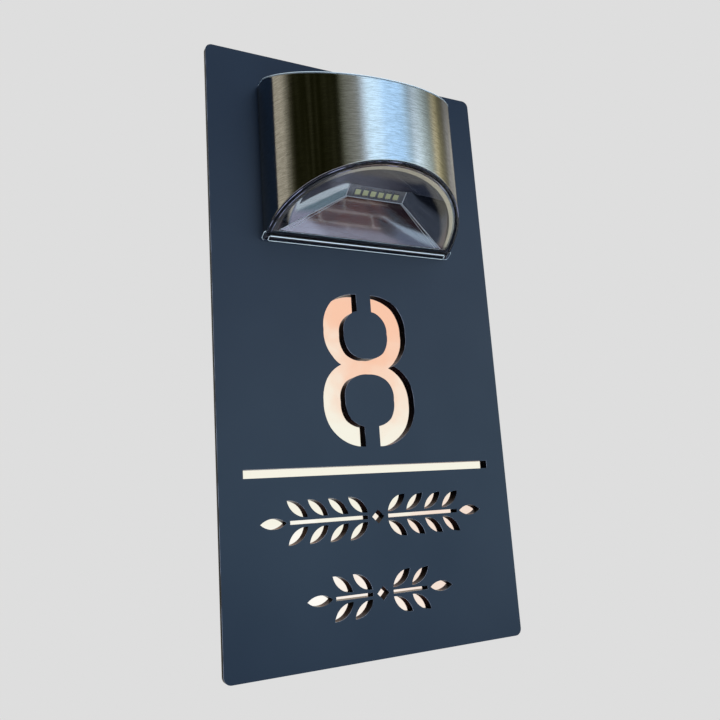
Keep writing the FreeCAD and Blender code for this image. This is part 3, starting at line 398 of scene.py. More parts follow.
def brushed_band():
    """Stainless band of the lamp: brushed round its length, so reflections run up and down it."""
    material, tree, shader = new_material("brushed_stainless")
    lines = use_group(tree, BRUSHING, Stretch=(7, 7, 90), Roughness=0.11, Spread=0.05)
    streaks = band(lines["Streaks"], 0.32, 0.68)
    set_inputs(shader, {
        "Base Color": mix(streaks, shade(184, 182, 176), shade(222, 221, 217)),
        "Roughness": lines["Roughness"],
        "Metallic": 1.0,
        "Anisotropic": 0.6,
        "Anisotropic Rotation": 0.25,
        "Tangent": add_node(tree, "ShaderNodeTangent", direction_type="RADIAL", axis="Z").outputs[0],
    })
    set_bump(shader, lines["Height"], 0.5, 0.00006)
    return material


def clear_plastic(name, tint):
    """Clear moulded plastic with faint smudges; shadow rays pass, so what is inside is lit."""
    material, tree, shader = new_material(name)
    place = object_place(tree)
    smudges = noise(place, 60.0, 5.0, 0.6)
    set_inputs(shader, {
        "Base Color": tint,
        "Metallic": 0.0,
        "Transmission Weight": 1.0,
        "IOR": 1.5,
        "Roughness": span(smudges, 0.45, 0.8, 0.0, 0.02),
    })
    set_bump(shader, noise(place, 90.0, 2.0), 0.2, 0.00003)
    see_through = add_node(tree, "ShaderNodeBsdfTransparent", {0: (0.97, 0.98, 1.0, 1)})
    shadow = tree.nodes.new("ShaderNodeLightPath").outputs["Is Shadow Ray"]
    blend_shaders(shadow, shader, see_through)
    return material


def metallised(name, color, rough, metallic=1.0):
    """Vacuum-metallised plastic: near mirror where it is smooth, a little milky and uneven."""
    material, tree, shader = new_material(name)
    surface = moulded(tree, color, rough, variation=0.04, grain=1500.0, spread=0.01)
    inputs = {"Base Color": surface["Color"], "Roughness": surface["Roughness"], "Metallic": metallic}
    set_inputs(shader, inputs)
    set_bump(shader, noise(object_place(tree), 130.0, 3.0), 0.08, 0.00001)
    return material


def painted_highlight_edge(name, color, patchy=0.0):
    """Painted highlight: a pale line on an edge of clear plastic; patchy breaks it into glints."""
    material, tree, shader = new_material(name)
    place = object_place(tree)
    # Painted highlight; where patchy is set, noise breaks it into dark gaps
    clear = span(noise(place, 95.0, 3.0), 0.46, 0.56, patchy, 0.0)
    edge = mix(clear, color, shade(28, 32, 46))
    set_inputs(shader, {"Base Color": edge, "Roughness": 0.22, "Coat Weight": 0.5})
    set_bump(shader, noise(place, 700.0, 3.0), 0.3, 0.00004)
    return material


def solar_laminate():
    """Dark cell under resin: fine silver fingers, gaps between strips, bus lines across, crystal grain."""
    material, tree, shader = new_material("solar_laminate")
    place = object_place(tree)
    axes = axes_of(place)
    fingers = repeated_lines(axes["X"], 0.0008, 0.00006)
    strips = repeated_lines(axes["X"], 0.008, 0.0003)
    bus = repeated_lines(plus(axes["Y"], 0.040), 0.0045, 0.00035)
    silver = largest(fingers, bus, strips)
    crystals = add_node(tree, "ShaderNodeTexVoronoi", {"Vector": place, "Scale": 260.0}).outputs["Color"]
    blue = mix(0.12, shade(18, 26, 52), crystals, "OVERLAY")
    set_inputs(shader, {
        "Base Color": mix(silver, blue, shade(150, 156, 160)),
        "Roughness": 0.22,
        "Coat Weight": 0.8,
        "Coat Roughness": 0.05,
    })
    return material


def circuit_board(name, color, copper):
    """Solder-masked board: slightly raised copper runs under the mask."""
    material, tree, shader = new_material(name)
    place = object_place(tree)
    axes = axes_of(place)
    along = repeated_lines(axes["X"], 0.0022, 0.0005)
    up = repeated_lines(axes["Z"], 0.0034, 0.0007)
    patches = math_node("GREATER_THAN", noise(place, 190.0, 1.0), 0.5)
    runs = times(largest(along, up), patches)
    set_inputs(shader, {"Base Color": mix(runs, color, copper), "Roughness": 0.32})
    set_bump(shader, runs, 0.4, 0.00003)
    return material


def phosphor():
    """Yellow phosphor of the LEDs, faintly grainy under clear resin."""
    material, tree, shader = new_material("led_phosphor")
    surface = moulded(tree, shade(212, 214, 160), 0.35, variation=0.12, grain=5200.0, spread=0.1)
    inputs = {"Base Color": surface["Color"], "Roughness": surface["Roughness"], "Coat Weight": 0.4}
    set_inputs(shader, inputs)
    set_bump(shader, surface["Height"], 0.3, 0.00002)
    return material


def cell_sleeve():
    """Plain shrink sleeve of the cell: green, with a silver band and a bare end."""
    material, tree, shader = new_material("cell_sleeve")
    place = object_place(tree)
    across = axes_of(place)["X"]
    silver = math_node("GREATER_THAN", across, 12.0 * MM)
    end = math_node("GREATER_THAN", across, 23.6 * MM)
    sleeve = mix(silver, shade(38, 120, 74), shade(190, 192, 190))
    color = mix(end, sleeve, shade(170, 168, 160))
    set_inputs(shader, {"Base Color": color, "Roughness": 0.3, "Coat Weight": 0.5})
    set_bump(shader, noise(place, 160.0, 3.0), 0.25, 0.0001)
    return material


MATERIALS = {
    "slate_acrylic": slate_acrylic(),
    "rose_mirror": rose_mirror(),
    "stainless": brushed_band(),
    "zinc_steel": metal("zinc_steel", shade(192, 190, 180), 0.34, (40, 40, 40), 0.3),
    "spring_steel": metal("spring_steel", shade(205, 203, 198), 0.2, (20, 20, 60), 0.15),
    "clear_cover": clear_plastic("clear_cover", (0.96, 0.98, 1.0, 1)),
    "solar_laminate": solar_laminate(),
    "metallised": metallised("metallised_tray", shade(198, 196, 196), 0.03),
    "tray_satin": metallised("tray_satin", shade(216, 210, 196), 0.14, 0.95),
    # Ribs: their pale, mostly non-metal colour paints highlights on the folds
    "tray_ribs_highlight": metallised("tray_ribs_highlight", shade(236, 240, 244), 0.4, 0.25),
    # Pale edge lines and glints on the lamp's clear parts are painted highlights
    "painted_highlight_line": painted_highlight_edge("painted_highlight_line", shade(208, 226, 238)),
    "painted_rim_glint": painted_highlight_edge("painted_rim_glint", shade(150, 156, 190), 1.0),
    "black_plastic": plastic("black_abs", shade(27, 30, 38), 0.42),
    "grey_plastic": plastic("grey_abs", shade(66, 67, 69), 0.48),
    "white_plastic": plastic("white_nylon", shade(214, 213, 206), 0.42, depth=0.00003),
    "gasket_rubber": plastic("gasket_rubber", shade(30, 30, 31), 0.75, grain=2600.0),
    "white_board": circuit_board("white_board", shade(106, 108, 112), shade(122, 124, 126)),
    "green_board": circuit_board("green_board", shade(20, 78, 44), shade(34, 102, 60)),
    "led_phosphor": phosphor(),
    "chip_black": plastic("epoxy_black", shade(26, 26, 27), 0.55, grain=4200.0),
    "cell_sleeve": cell_sleeve(),
    "wire_red": plastic("wire_sleeve", shade(148, 26, 22), 0.38),
}


# ---- mesh helpers


def make_piece(name, form, body, slot, replaces=(), smooth_angle=35.0, flat=0, look=None):
    """Mesh piece from points and faces, with outward normals; it rides on a body and stands for CAD nodes.

    The last faces, as many as flat says, stay flat shaded; look is a material other than the slot's own.
    """
    points, faces = form
    mesh = bpy.data.meshes.new(name)
    mesh.from_pydata([tuple(p) for p in points], [], faces)
    shape = bmesh.new()
    shape.from_mesh(mesh)
    bmesh.ops.remove_doubles(shape, verts=shape.verts, dist=1e-7)
    bmesh.ops.recalc_face_normals(shape, faces=shape.faces)
    shape.to_mesh(mesh)
    shape.free()
    mesh.set_sharp_from_angle(angle=math.radians(smooth_angle))
    count = len(mesh.polygons)
    mesh.polygons.foreach_set("use_smooth", [True] * (count - flat) + [False] * flat)
    piece = bpy.data.objects.new(name, mesh)
    SCENE.collection.objects.link(piece)
    mesh.materials.append(MATERIALS[look or slot])
    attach(piece, body)
    if replaces:
        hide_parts(*replaces)
    return piece


def bevel(piece, width, angle=40.0):
    """Rounds the edges where a piece turns by more than the angle."""
    modifier = piece.modifiers.new("soft_edges", "BEVEL")
    modifier.width = width * MM
    modifier.segments = 2
    modifier.limit_method = "ANGLE"
    modifier.angle_limit = math.radians(angle)


def stitch(rings, closed_stack=False):
    """Points and faces of neighbouring closed rings of equal length."""
    count = len(rings[0])
    points = [p for ring in rings for p in ring]
    faces = []
    for r in range(len(rings) if closed_stack else len(rings) - 1):
        low, high = r * count, (r + 1) % len(rings) * count
        for i in range(count):
            j = (i + 1) % count
            faces.append((low + i, low + j, high + j, high + i))
    return points, faces


def cross_cap(start, count):
    """Strips from side to side of a ring that is its own mirror image; its middle point is the front."""
    half = count // 2
    faces = []
    for i in range(half - 1):
        faces.append((start + i, start + i + 1, start + count - 2 - i, start + count - 1 - i))
    faces.append((start + half - 1, start + half, start + half + 1))
    return faces


def capped_stack(rings):
    """Points and faces of stacked rings with both ends closed, and how many faces the ends take."""
    points, faces = stitch(rings)
    count = len(rings[0])
    ends = cross_cap(0, count) + cross_cap((len(rings) - 1) * count, count)
    return points, faces + ends, len(ends)


def tube(path, radius, sides=8, closed=False):
    """Thin round tube along points, with closed ends unless the path itself is closed."""
    rings = []
    last = len(path) - 1
    for i, centre in enumerate(path):
        before = path[i - 1] if i or closed else path[0]
        after = path[(i + 1) % len(path)] if i < last or closed else path[last]
        axis = (after - before).normalized()
        across = axis.cross(Vector((0, 0, 1)))    # none for an upright axis, where any direction serves
        across = across.normalized() if across.length > 0.01 else Vector((1, 0, 0))
        up = axis.cross(across)
        turns = [2 * math.pi * k / sides for k in range(sides)]
        rings.append([centre + radius * MM * (math.cos(a) * across + math.sin(a) * up) for a in turns])
    points, faces = stitch(rings, closed)
    if not closed:
        faces += [tuple(range(sides)), tuple(range(last * sides, (last + 1) * sides))]
    return points, faces


def join_meshes(meshes):
    points, faces = [], []
    for more, more_faces in meshes:
        offset = len(points)
        points += more
        faces += [tuple(i + offset for i in face) for face in more_faces]
    return points, faces


# ---- the lamp's plan

CORNER_STEPS = 4    # of the rounded rear corner
SIDE_POINTS = 4     # on the straight side or its ear
BOW_STEPS = 44      # of half the bow
BOW_START = 5.0     # the bow's own points start at least at this depth
BACK_POINTS = CORNER_STEPS + 1 + SIDE_POINTS


def half_plan(half, depth, back, corner=1.0, ear=0.0):
    """Left half of the lamp's plan, from its back round to just short of the front, as (x, depth).

    corner is the radius of the rear corner, and ear how far a rounded ear stands out behind the bow.
    """
    bow = depth - STRAIGHT

    def side(at):
        inside = max(0.0, at - STRAIGHT) / bow
        return half * math.sqrt(max(0.0, 1.0 - inside * inside))

    start = max(BOW_START, back + corner + 0.5)
    points = []
    for k in range(CORNER_STEPS + 1):
        turn = QUARTER * k / CORNER_STEPS
        at = back + corner * (1 - math.cos(turn))
        points.append((-(side(at) + ear - corner * (1 - math.sin(turn))), at))
    for k in range(SIDE_POINTS):
        if ear:
            turn = QUARTER * k / SIDE_POINTS
            points.append((-(half + ear * math.cos(turn)), start - ear + ear * math.sin(turn)))
        else:
            at = back + corner + (start - back - corner) * (k + 1) / (SIDE_POINTS + 1)
            points.append((-side(at), at))
    first = math.asin((start - STRAIGHT) / bow)
    for k in range(BOW_STEPS):
        turn = first + (QUARTER - first) * k / BOW_STEPS
        points.append((-half * math.cos(turn), STRAIGHT + bow * math.sin(turn)))
    return points


def mirrored(left, front):
    """A whole plan from its left half and the depth of its front."""
    return left + [(0.0, front)] + [(-x, at) for x, at in reversed(left)]


def whole_plan(half, depth, back, corner=1.0, ear=0.0):
    return mirrored(half_plan(half, depth, back, corner, ear), depth)


def inset_plan(inset, *rest):
    """The lamp's plan, inset from its outside."""
    return whole_plan(HALF - inset, DEPTH - inset, *rest)


def raised(plan, level):
    """A plan's points on the lamp, where level is a function of depth."""
    return [on_lamp(x, at, level(at)) for x, at in plan]


# ---- lamp pieces


def band_plan(inset, back=0.3, side_steps=3, bow_steps=150):
    """Plan of the band from its left rear end round to its right one, inset from its outside."""
    half, bow = HALF - inset, DEPTH - inset - STRAIGHT
    straight = [back + (STRAIGHT - back) * k / side_steps for k in range(side_steps)]
    turns = [math.pi * k / bow_steps for k in range(bow_steps + 1)]
    front = [(-half * math.cos(turn), STRAIGHT + bow * math.sin(turn)) for turn in turns]
    return [(-half, at) for at in straight] + front + [(half, at) for at in reversed(straight)]


def make_shell():
    """Stainless band, 0.5 thick, with rolled edges; open at the back."""
    thick, roll, straight = 0.5, 0.16, 0.4    # straight is where the flat side starts, off its edges
    soft = roll * 0.3
    low, high = 0.9, 0.8    # its edges, above the lens's outside and below the top's
    section = [    # inset from the outside, and level
        (0, lens_level(low + roll)), (0, lens_level(low + straight)),
        (0, top_level(high + straight)), (0, top_level(high + roll)), (soft, top_level(high + soft)),
        (roll, top_level(high)), (thick - roll, top_level(high)), (thick, top_level(high + roll)),
        (thick, lens_level(low + roll)), (thick - roll, lens_level(low)), (roll, lens_level(low)),
        (soft, lens_level(low + soft)),
    ]
    lines = [raised(band_plan(inset), level) for inset, level in section]
    points, faces = stitch(list(zip(*lines)))
    count = len(section)
    faces += [tuple(range(count)), tuple(range(len(points) - count, len(points)))]
    make_piece("lamp_band", (points, faces), "lamp", "stainless", ["lamp_shell"], 40.0)


def make_clear_part(name, node, level, rows):
    """Clear moulding from stacked rows: inset, back, offset of its level, corner radius, and maybe an ear."""
    rings = [raised(inset_plan(inset, back, *corner), level(offset)) for inset, back, offset, *corner in rows]
    points, faces, ends = capped_stack(rings)
    make_piece(name, (points, faces), "lamp", "clear_cover", [node], 50.0, ends)


def make_lens():
    """Clear lens: recessed panel, raised rim with a wider bar at the back, flange with ears, seat inside."""
    make_clear_part("lens_moulding", "lens", lens_level, [
        (3.0, 3.9, 0.6, 1.2), (2.7, 3.5, 0.58, 1.0), (2.45, 3.3, 0.46, 0.9), (2.4, 3.2, 0.25, 0.8),
        (2.3, 3.1, 0.08, 0.8), (2.1, 2.9, 0.0, 0.8), (0.5, 0.8, 0.0, 1.0, 1.1), (0.15, 0.45, 0.06, 1.2, 1.25),
        (0.0, 0.3, 0.28, 1.3, 1.3), (0.0, 0.3, 0.66, 1.3, 1.3), (0.2, 0.45, 0.9, 1.2, 1.25),
        (2.0, 4.8, 0.9, 0.9), (2.0, 4.8, 1.65, 0.9), (2.2, 5.0, 1.8, 0.9),
    ])


def make_top_cover():
    """Clear cover over the solar cell: seat inside the housing, and a flange on the band's edge."""
    make_clear_part("clear_top", "top_cover", top_level, [
        (2.2, 5.0, 2.0, 0.9), (2.0, 4.8, 1.8, 0.9), (2.0, 4.8, 0.8, 0.9), (0.2, 0.5, 0.8, 1.0),
        (0.0, 0.3, 0.62, 1.1), (0.0, 0.3, 0.25, 1.1), (0.25, 0.55, 0.02, 1.0), (0.5, 0.8, 0.0, 1.0),
    ])


def make_bar_highlights():
    """Painted highlights: pale lines on the edges of the bar along the lens's back and of its ears."""
    at_rim = lens_level(0.06)
    long, end = 50.9, 51.5       # half of the bar's length, along its long edges and between its ends
    front, back = 3.02, 0.5
    right = [(long, front), (end, front - 0.42), (end, back + 0.4), (long, back)]
    bar = right + [(-x, at) for x, at in reversed(right)]
    step = [(-long, 3.05), (long, 3.05)]
    edges = [tube(raised(bar, at_rim), 0.19, closed=True), tube(raised(step, at_rim), 0.3, sides=10)]
    ear = inset_plan(0.1, 0.35, 1.2, 1.25)[:BACK_POINTS]
    for side in (-1, 1):
        edges.append(tube(raised([(side * x, at) for x, at in ear], lens_level(0.5)), 0.22))
    make_piece("lens_bar_highlights", join_meshes(edges), "lamp", "clear_cover", look="painted_highlight_line")


def make_rim_glints():
    """Broken bright lines along both edges of the lens's rim, as painted highlights."""
    lines = []
    for inset, rise, radius in ((0.3, 0.12, 0.16), (2.2, 0.05, 0.12)):
        plan = inset_plan(inset, STRAIGHT)[BACK_POINTS:-BACK_POINTS]
        lines.append(tube(raised(plan, lens_level(rise)), radius, sides=6))
    make_piece("lens_rim_glints", join_meshes(lines), "lamp", "clear_cover", look="painted_rim_glint")


def make_top_cover_highlight():
    """Painted highlight: a thin bright line on the top cover's edge, all round."""
    line = tube(raised(inset_plan(0.3, 0.6), top_level(0.25)), 0.3, closed=True)
    make_piece("top_cover_highlight", line, "lamp", "clear_cover", look="painted_highlight_line")


# ---- reflector

WINDOW_LEVEL, WINDOW_SLOPE = 21.4, 0.727
WINDOW_HALF, WINDOW_BACK, WINDOW_FRONT = 16.2, 19.0, 24.5
FACET_BASE, FACET_SLOPE = 1.0, 0.727
LENS_TOP = 1.85    # just above the lens, where the tray's foot stands
TRAY_WALL = 1.1
CORNER_X, FACET_BACK = 47.0, 5.3
SIDE_X, SIDE_DEPTH = 45.4, 16.5          # a point on the side facet's curved edge
SHOULDER_X, SHOULDER_DEPTH = 36.4, 29.5
FACET_FRONT = 43.1
SHOULDER_STEP = 18                       # of the bow's steps, where the side facet meets the front one
SIDE_STEPS = SIDE_POINTS + 1 + SHOULDER_STEP
FRONT_STEPS = BOW_STEPS - SHOULDER_STEP
FACET_REAR, WINDOW_REAR = 12.0, 6.0      # of the rear edges, what matches half_plan's rear corner
# Plans round the facets: half width, depth, back, corner radius.
TRAY_INSIDE = (48.3, 43.6, 5.1, 0.5)
TRAY_OUTSIDE = (49.0, 44.3, 4.9, 0.5)
SKIRT_INSIDE = (48.2, 43.5, 5.15, 0.5)
SKIRT_OUTSIDE = (51.3, 46.8, 4.9, 0.8)


def window_level(at):
    return WINDOW_LEVEL + WINDOW_SLOPE * (at - WINDOW_BACK)


def facet_level(rise=0.0):
    return lambda at: FACET_BASE + rise + FACET_SLOPE * at


def arc_points(start, middle, end, count):
    """Points along the circle arc through three plan points, start and end included."""
    (ax, ay), (bx, by), (cx, cy) = start, middle, end
    a_square, b_square, c_square = ax * ax + ay * ay, bx * bx + by * by, cx * cx + cy * cy
    double_area = 2 * (ax * (by - cy) + bx * (cy - ay) + cx * (ay - by))
    x = (a_square * (by - cy) + b_square * (cy - ay) + c_square * (ay - by)) / double_area
    y = (a_square * (cx - bx) + b_square * (ax - cx) + c_square * (bx - ax)) / double_area
    radius = math.hypot(ax - x, ay - y)
    first = math.atan2(ay - y, ax - x)
    last = math.atan2(cy - y, cx - x)
    sweep = (last - first + math.pi) % (2 * math.pi) - math.pi
    turns = [first + sweep * k / count for k in range(count + 1)]
    return [(x + radius * math.cos(turn), y + radius * math.sin(turn)) for turn in turns]


def rear_points(corner, length):
    """Points on the left end of a straight rear edge, as many as half_plan's rear corner has."""
    x, at = corner
    return [(x + length * (CORNER_STEPS - k) / CORNER_STEPS, at) for k in range(CORNER_STEPS + 1)]


def facet_outline(grow):
    """Left half of the edge where the facets start, matched point by point to half_plan."""
    corner = (-(CORNER_X + grow), FACET_BACK - grow)
    shoulder = (-(SHOULDER_X + grow), SHOULDER_DEPTH)
    side = arc_points(corner, (-(SIDE_X + grow), SIDE_DEPTH), shoulder, SIDE_STEPS)
    front = arc_points(shoulder, (0.0, FACET_FRONT + grow), (-shoulder[0], shoulder[1]), 2 * FRONT_STEPS)
    return rear_points(corner, FACET_REAR) + side[1:] + front[1:FRONT_STEPS]


def window_outline(grow):
    """Left half of the LED window's edge, matched point by point to half_plan."""
    half, back, front = WINDOW_HALF + grow, WINDOW_BACK - grow, WINDOW_FRONT + grow
    side = [(-half, back + (front - back) * k / SIDE_STEPS) for k in range(1, SIDE_STEPS + 1)]
    edge = [(-half + half * k / FRONT_STEPS, front) for k in range(1, FRONT_STEPS)]
    return rear_points((-half, back), WINDOW_REAR) + side + edge


def facet_rings(grow, steps=6):
    """Rings from the edge where the facets start up to the window."""
    base = raised(mirrored(facet_outline(grow), FACET_FRONT + grow), facet_level())
    window = raised(mirrored(window_outline(grow), WINDOW_FRONT + grow), window_level)
    return [[a.lerp(b, k / steps) for a, b in zip(base, window)] for k in range(steps + 1)]


def make_tray():
    """Metallised tray: four facets up to the window, with one wall thickness."""
    inside = raised(whole_plan(*TRAY_INSIDE), facet_level())
    outside = raised(whole_plan(*TRAY_OUTSIDE), facet_level(TRAY_WALL))
    form = stitch([inside] + facet_rings(0) + facet_rings(TRAY_WALL)[::-1] + [outside], closed_stack=True)
    make_piece("reflector_tray", form, "lamp", "metallised", ["reflector"], 14.0)


def make_skirt():
    """Skirt round the facets with its broad foot on the lens."""
    inside, outside = whole_plan(*SKIRT_INSIDE), whole_plan(*SKIRT_OUTSIDE)
    foot = lens_level(LENS_TOP)
    rings = [
        raised(inside, foot), raised(inside, facet_level()),
        raised(outside, facet_level(TRAY_WALL)), raised(outside, foot),
    ]
    make_piece("reflector_skirt", stitch(rings, closed_stack=True), "lamp", "metallised", look="tray_satin")


def make_ribs():
    """Thin ribs along the tray's rear folds, each with a finer one beside it, and round the window; their
    pale colour is painted highlight.
    """
    ribs = []
    for side in (-1, 1):
        corner = on_lamp(side * CORNER_X, FACET_BACK, facet_level()(FACET_BACK))
        rear = on_lamp(side * WINDOW_HALF, WINDOW_BACK, window_level(WINDOW_BACK))
        front = on_lamp(side * WINDOW_HALF, WINDOW_FRONT, window_level(WINDOW_FRONT))
        inward = Vector((-side, 0, 0)) * MM
        ribs.append(tube([corner, rear], 0.26))
        ribs.append(tube([corner + 3.5 * inward, rear + 0.9 * inward], 0.14))
        ribs.append(tube([rear, front], 0.24))
    window = [on_lamp(x, WINDOW_BACK, window_level(WINDOW_BACK)) for x in (-WINDOW_HALF, WINDOW_HALF)]
    ribs.append(tube(window, 0.22))
    make_piece("reflector_ribs", join_meshes(ribs), "lamp", "metallised", look="tray_ribs_highlight")


# ---- light engine

ENGINE_TURN = Matrix.Rotation(-math.atan(WINDOW_SLOPE), 4, "X")
ENGINE_MIDDLE = (WINDOW_BACK + WINDOW_FRONT) / 2
LED_COUNT, LED_PITCH = 6, 4.34
# Blocks on the LED board: half length, half width, lower and upper level, narrowing of the lower end.
BOARD = (19.0, 5.5, (0.0, 1.2), 0.0)
LED_FRAME = (1.75, 1.75, (-0.62, -0.02), 0.08)
LED_WINDOW = (1.5, 1.5, (-0.7, -0.6), 0.12)
LED_PAD = (0.9, 0.25, (-0.08, 0.0), 0.02)
PAD_OFF = 2.05     # its middle, off the LED's


def on_engine(x, along, above):
    """A point on the slanting LED board: across, up the slope towards the wall, above its underside."""
    centre = on_lamp(0, ENGINE_MIDDLE, window_level(ENGINE_MIDDLE))
    return centre + ENGINE_TURN @ (Vector((x, along, above)) * MM)


def engine_block(x, y, sizes):
    """Block with its middle at x and y on the LED board."""
    half_length, half_width, levels, narrowing = sizes
    corners = []
    for level, trim in zip(levels, (narrowing, 0.0)):
        across, up = half_length - trim, half_width - trim
        for u, v in ((-1, -1), (1, -1), (1, 1), (-1, 1)):
            corners.append(on_engine(x + u * across, y + v * up, level))
    return corners, [(0, 1, 2, 3), (4, 5, 6, 7), (0, 1, 5, 4), (1, 2, 6, 5), (2, 3, 7, 6), (3, 0, 4, 7)]


def make_light_engine():
    """Board with six LEDs: a frame and a phosphor window each, and a solder pad at either side."""
    bevel(make_piece("engine_board", engine_block(0, 0, BOARD), "lamp", "white_board", ["led_board"]), 0.12)
    middles = [(i - (LED_COUNT - 1) / 2) * LED_PITCH for i in range(LED_COUNT)]
    frames = join_meshes([engine_block(x, 0, LED_FRAME) for x in middles])
    windows = join_meshes([engine_block(x, 0, LED_WINDOW) for x in middles])
    pads = join_meshes([engine_block(x, y, LED_PAD) for x in middles for y in (-PAD_OFF, PAD_OFF)])
    bevel(make_piece("led_frames", frames, "lamp", "white_board"), 0.06)
    bevel(make_piece("led_windows", windows, "lamp", "led_phosphor", ["led_chips"]), 0.05)
    make_piece("led_pads", pads, "lamp", "zinc_steel")


# ---- carried-over CAD nodes

# Node, slot, and maybe the rounding of its edges and the turn in degrees from which an edge is rounded.
CARRIED_OVER = [
    ("front_plate", "slate_acrylic", 0.14),
    ("mirror_plate", "rose_mirror", 0.14),
    ("locator_cups", "white_plastic", 0.2, 50),
    ("locator_studs", "white_plastic", 0.15, 50),
    ("lamp_fixing_screws", "zinc_steel", 0.1, 50),
    ("lamp_fixing_washers", "zinc_steel", 0.08, 50),
    ("lamp_fixing_nuts", "zinc_steel", 0.25, 50),
    ("lamp_housing", "black_plastic"),
    ("solar_cell", "solar_laminate"),
    ("rear_cover", "black_plastic", 0.15),
    ("rear_gasket", "gasket_rubber"),
    ("rear_screws", "zinc_steel", 0.08, 50),
    ("battery", "cell_sleeve", 0.3, 50),
    ("battery_holder", "grey_plastic", 0.15),
    ("holder_screws", "zinc_steel", 0.08, 50),
    ("battery_spring", "spring_steel", 0.05),
    ("battery_contact", "spring_steel", 0.05),
    ("control_board", "green_board", 0.08),
    ("board_screws", "zinc_steel", 0.08, 50),
    ("control_chip", "chip_black", 0.1),
    ("board_inductor", "chip_black", 0.3),
    ("switch_body", "grey_plastic", 0.1),
    ("switch_slider", "white_plastic", 0.1),
    ("led_leads", "wire_red"),
    ("battery_leads", "wire_red"),
    ("panel_leads", "wire_red"),
]


def dress(node, slot, soft=0.0, angle=40.0):
    """Gives a CAD node its material, smooth shading that keeps flat faces flat, and rounded edges."""
    piece = NODES[node]
    mesh = piece.data
    mesh.materials.clear()
    mesh.materials.append(MATERIALS[slot])
    mesh.polygons.foreach_set("use_smooth", [True] * len(mesh.polygons))
    piece.modifiers.new("weld", "WELD").merge_threshold = 1e-6
    if soft:
        bevel(piece, soft, angle)
    piece.modifiers.new("weighted", "WEIGHTED_NORMAL").keep_sharp = True


# ---- camera, floor and light


def make_camera():
    """Camera from the picture's fit: its place in metres, and its right, down and forward directions."""
    camera = bpy.data.cameras.new("camera")
    camera.sensor_width = 36.0
    camera.lens = 37.172
    camera.clip_start = 0.01
    camera.clip_end = 60.0
    place = Vector((-0.177137, -0.344121, -0.081078))
    right = Vector((0.88882, -0.45344, -0.06624))
    down = Vector((0.02975, 0.20134, -0.97907))
    ahead = Vector((0.45729, 0.86825, 0.19245))
    turn = Matrix((right, -down, -ahead)).transposed().to_4x4()
    holder = bpy.data.objects.new("camera", camera)
    holder.matrix_world = Matrix.Translation(place) @ turn
    SCENE.collection.objects.link(holder)
    SCENE.camera = holder


def make_floor():
    """Wide pale floor well below the sign, as it hangs at door height; sizes in metres."""
    reach, level = 12.0, -1.3
    corners = [(x * reach, y * reach, level) for x, y in ((-1, -1), (1, -1), (1, 1), (-1, 1))]
    mesh = bpy.data.meshes.new("floor")
    mesh.from_pydata(corners, [], [(0, 1, 2, 3)])
    floor = bpy.data.objects.new("floor", mesh)
    SCENE.collection.objects.link(floor)
    material, tree, shader = new_material("pale_floor")
    set_inputs(shader, {"Base Color": PAPER, "Roughness": 0.8})
    glow = add_node(tree, "ShaderNodeEmission", {"Color": PAPER, "Strength": 1.0})
    blend_shaders(tree.nodes.new("ShaderNodeLightPath").outputs["Is Camera Ray"], shader, glow)
    mesh.materials.append(material)
    floor.visible_glossy = False
    floor.visible_transmission = False


# What the sign mirrors, all round: degrees right of straight ahead, level, and its tint where it has one.
TAN_WALL = (0.48, 1, 0.93, 0.77)
PALE_WALL = (0.78, 1, 1, 0.99)
LEAVES = (0.008, 1, 1.05, 0.25)
ABOVE_STREET = [
    (-166, *PALE_WALL), (-158, *TAN_WALL), (-103, *TAN_WALL), (-97, 0.25, 1, 0.95, 0.76),
    (-90, 0.05, 1, 0.95, 0.6), (-84, *LEAVES), (-28.5, *LEAVES), (-25, 0.13, 1, 1.05, 0.8),
    (-21.5, 0.2, 1, 1.05, 0.94), (-13, 0.29, 1, 1.05, 1), (-7.5, 0.37, 0.92, 1.03, 1.08),
    (-4.5, 0.85, 0.82, 0.98, 1.18), (2, 1.45, 0.73, 1, 1.27), (12, 1.4, 0.71, 1, 1.32),
    (18, 1.2, 0.64, 1, 1.48), (34, 1.07, 0.62, 1, 1.52), (39, 1.12, 0.66, 1, 1.42),
    (43, 0.86, 0.7, 1, 1.3), (46, 0.97, 0.75, 1, 1.25), (49, 1.4, 0.8, 1, 1.22),
    (58, 1.12, 0.8, 1, 1.12), (64, 0.78, 0.82, 1, 1.06), (70, 0.5, 0.86, 1.04, 1.02),
    (74, 0.52, 0.96, 1, 0.85), (77, 0.85, 1, 0.93, 0.66), (83, 0.6, 1, 0.9, 0.55),
    (88, 0.28, 1, 0.93, 0.58), (98, 0.2, 1, 0.96, 0.75), (106, 0.37), (158, *TAN_WALL),
    (166, *PALE_WALL),
]
ALONG_STREET = [
    (-180, *TAN_WALL), (-94, *TAN_WALL), (-84, 0.05), (-30, 0.06), (-10, 0.4), (6, 1.62, 0.62, 1, 1.32),
    (25, 1.62, 0.62, 1, 1.32), (33, 1.24, 0.75, 1, 1.2), (50, 1, 0.75, 1, 1.2), (80, 0.5),
    (110, *TAN_WALL), (180, *TAN_WALL),
]

# A place on the mirrored ground is how far east (right) or north (towards the wall) of the sign it lies,
# as a share of how far below the sign the ground is. Its edges below are such shares.


def make_bricks(place, grime):
    """Brick paving with grime, in courses that run east."""
    bricks = add_node(place.id_data, "ShaderNodeTexBrick", {
        "Vector": place,
        "Color1": shade(112, 66, 56),
        "Color2": shade(78, 54, 50),
        "Mortar": shade(186, 174, 168),
        "Scale": 1.0,
        "Mortar Size": 0.0021,
        "Mortar Smooth": 0.15,
        "Brick Width": 0.105,
        "Row Height": 0.0265,
    }).outputs["Color"]
    return mix(times(band(grime, 0.45, 0.75), 0.6), bricks, shade(52, 42, 44))


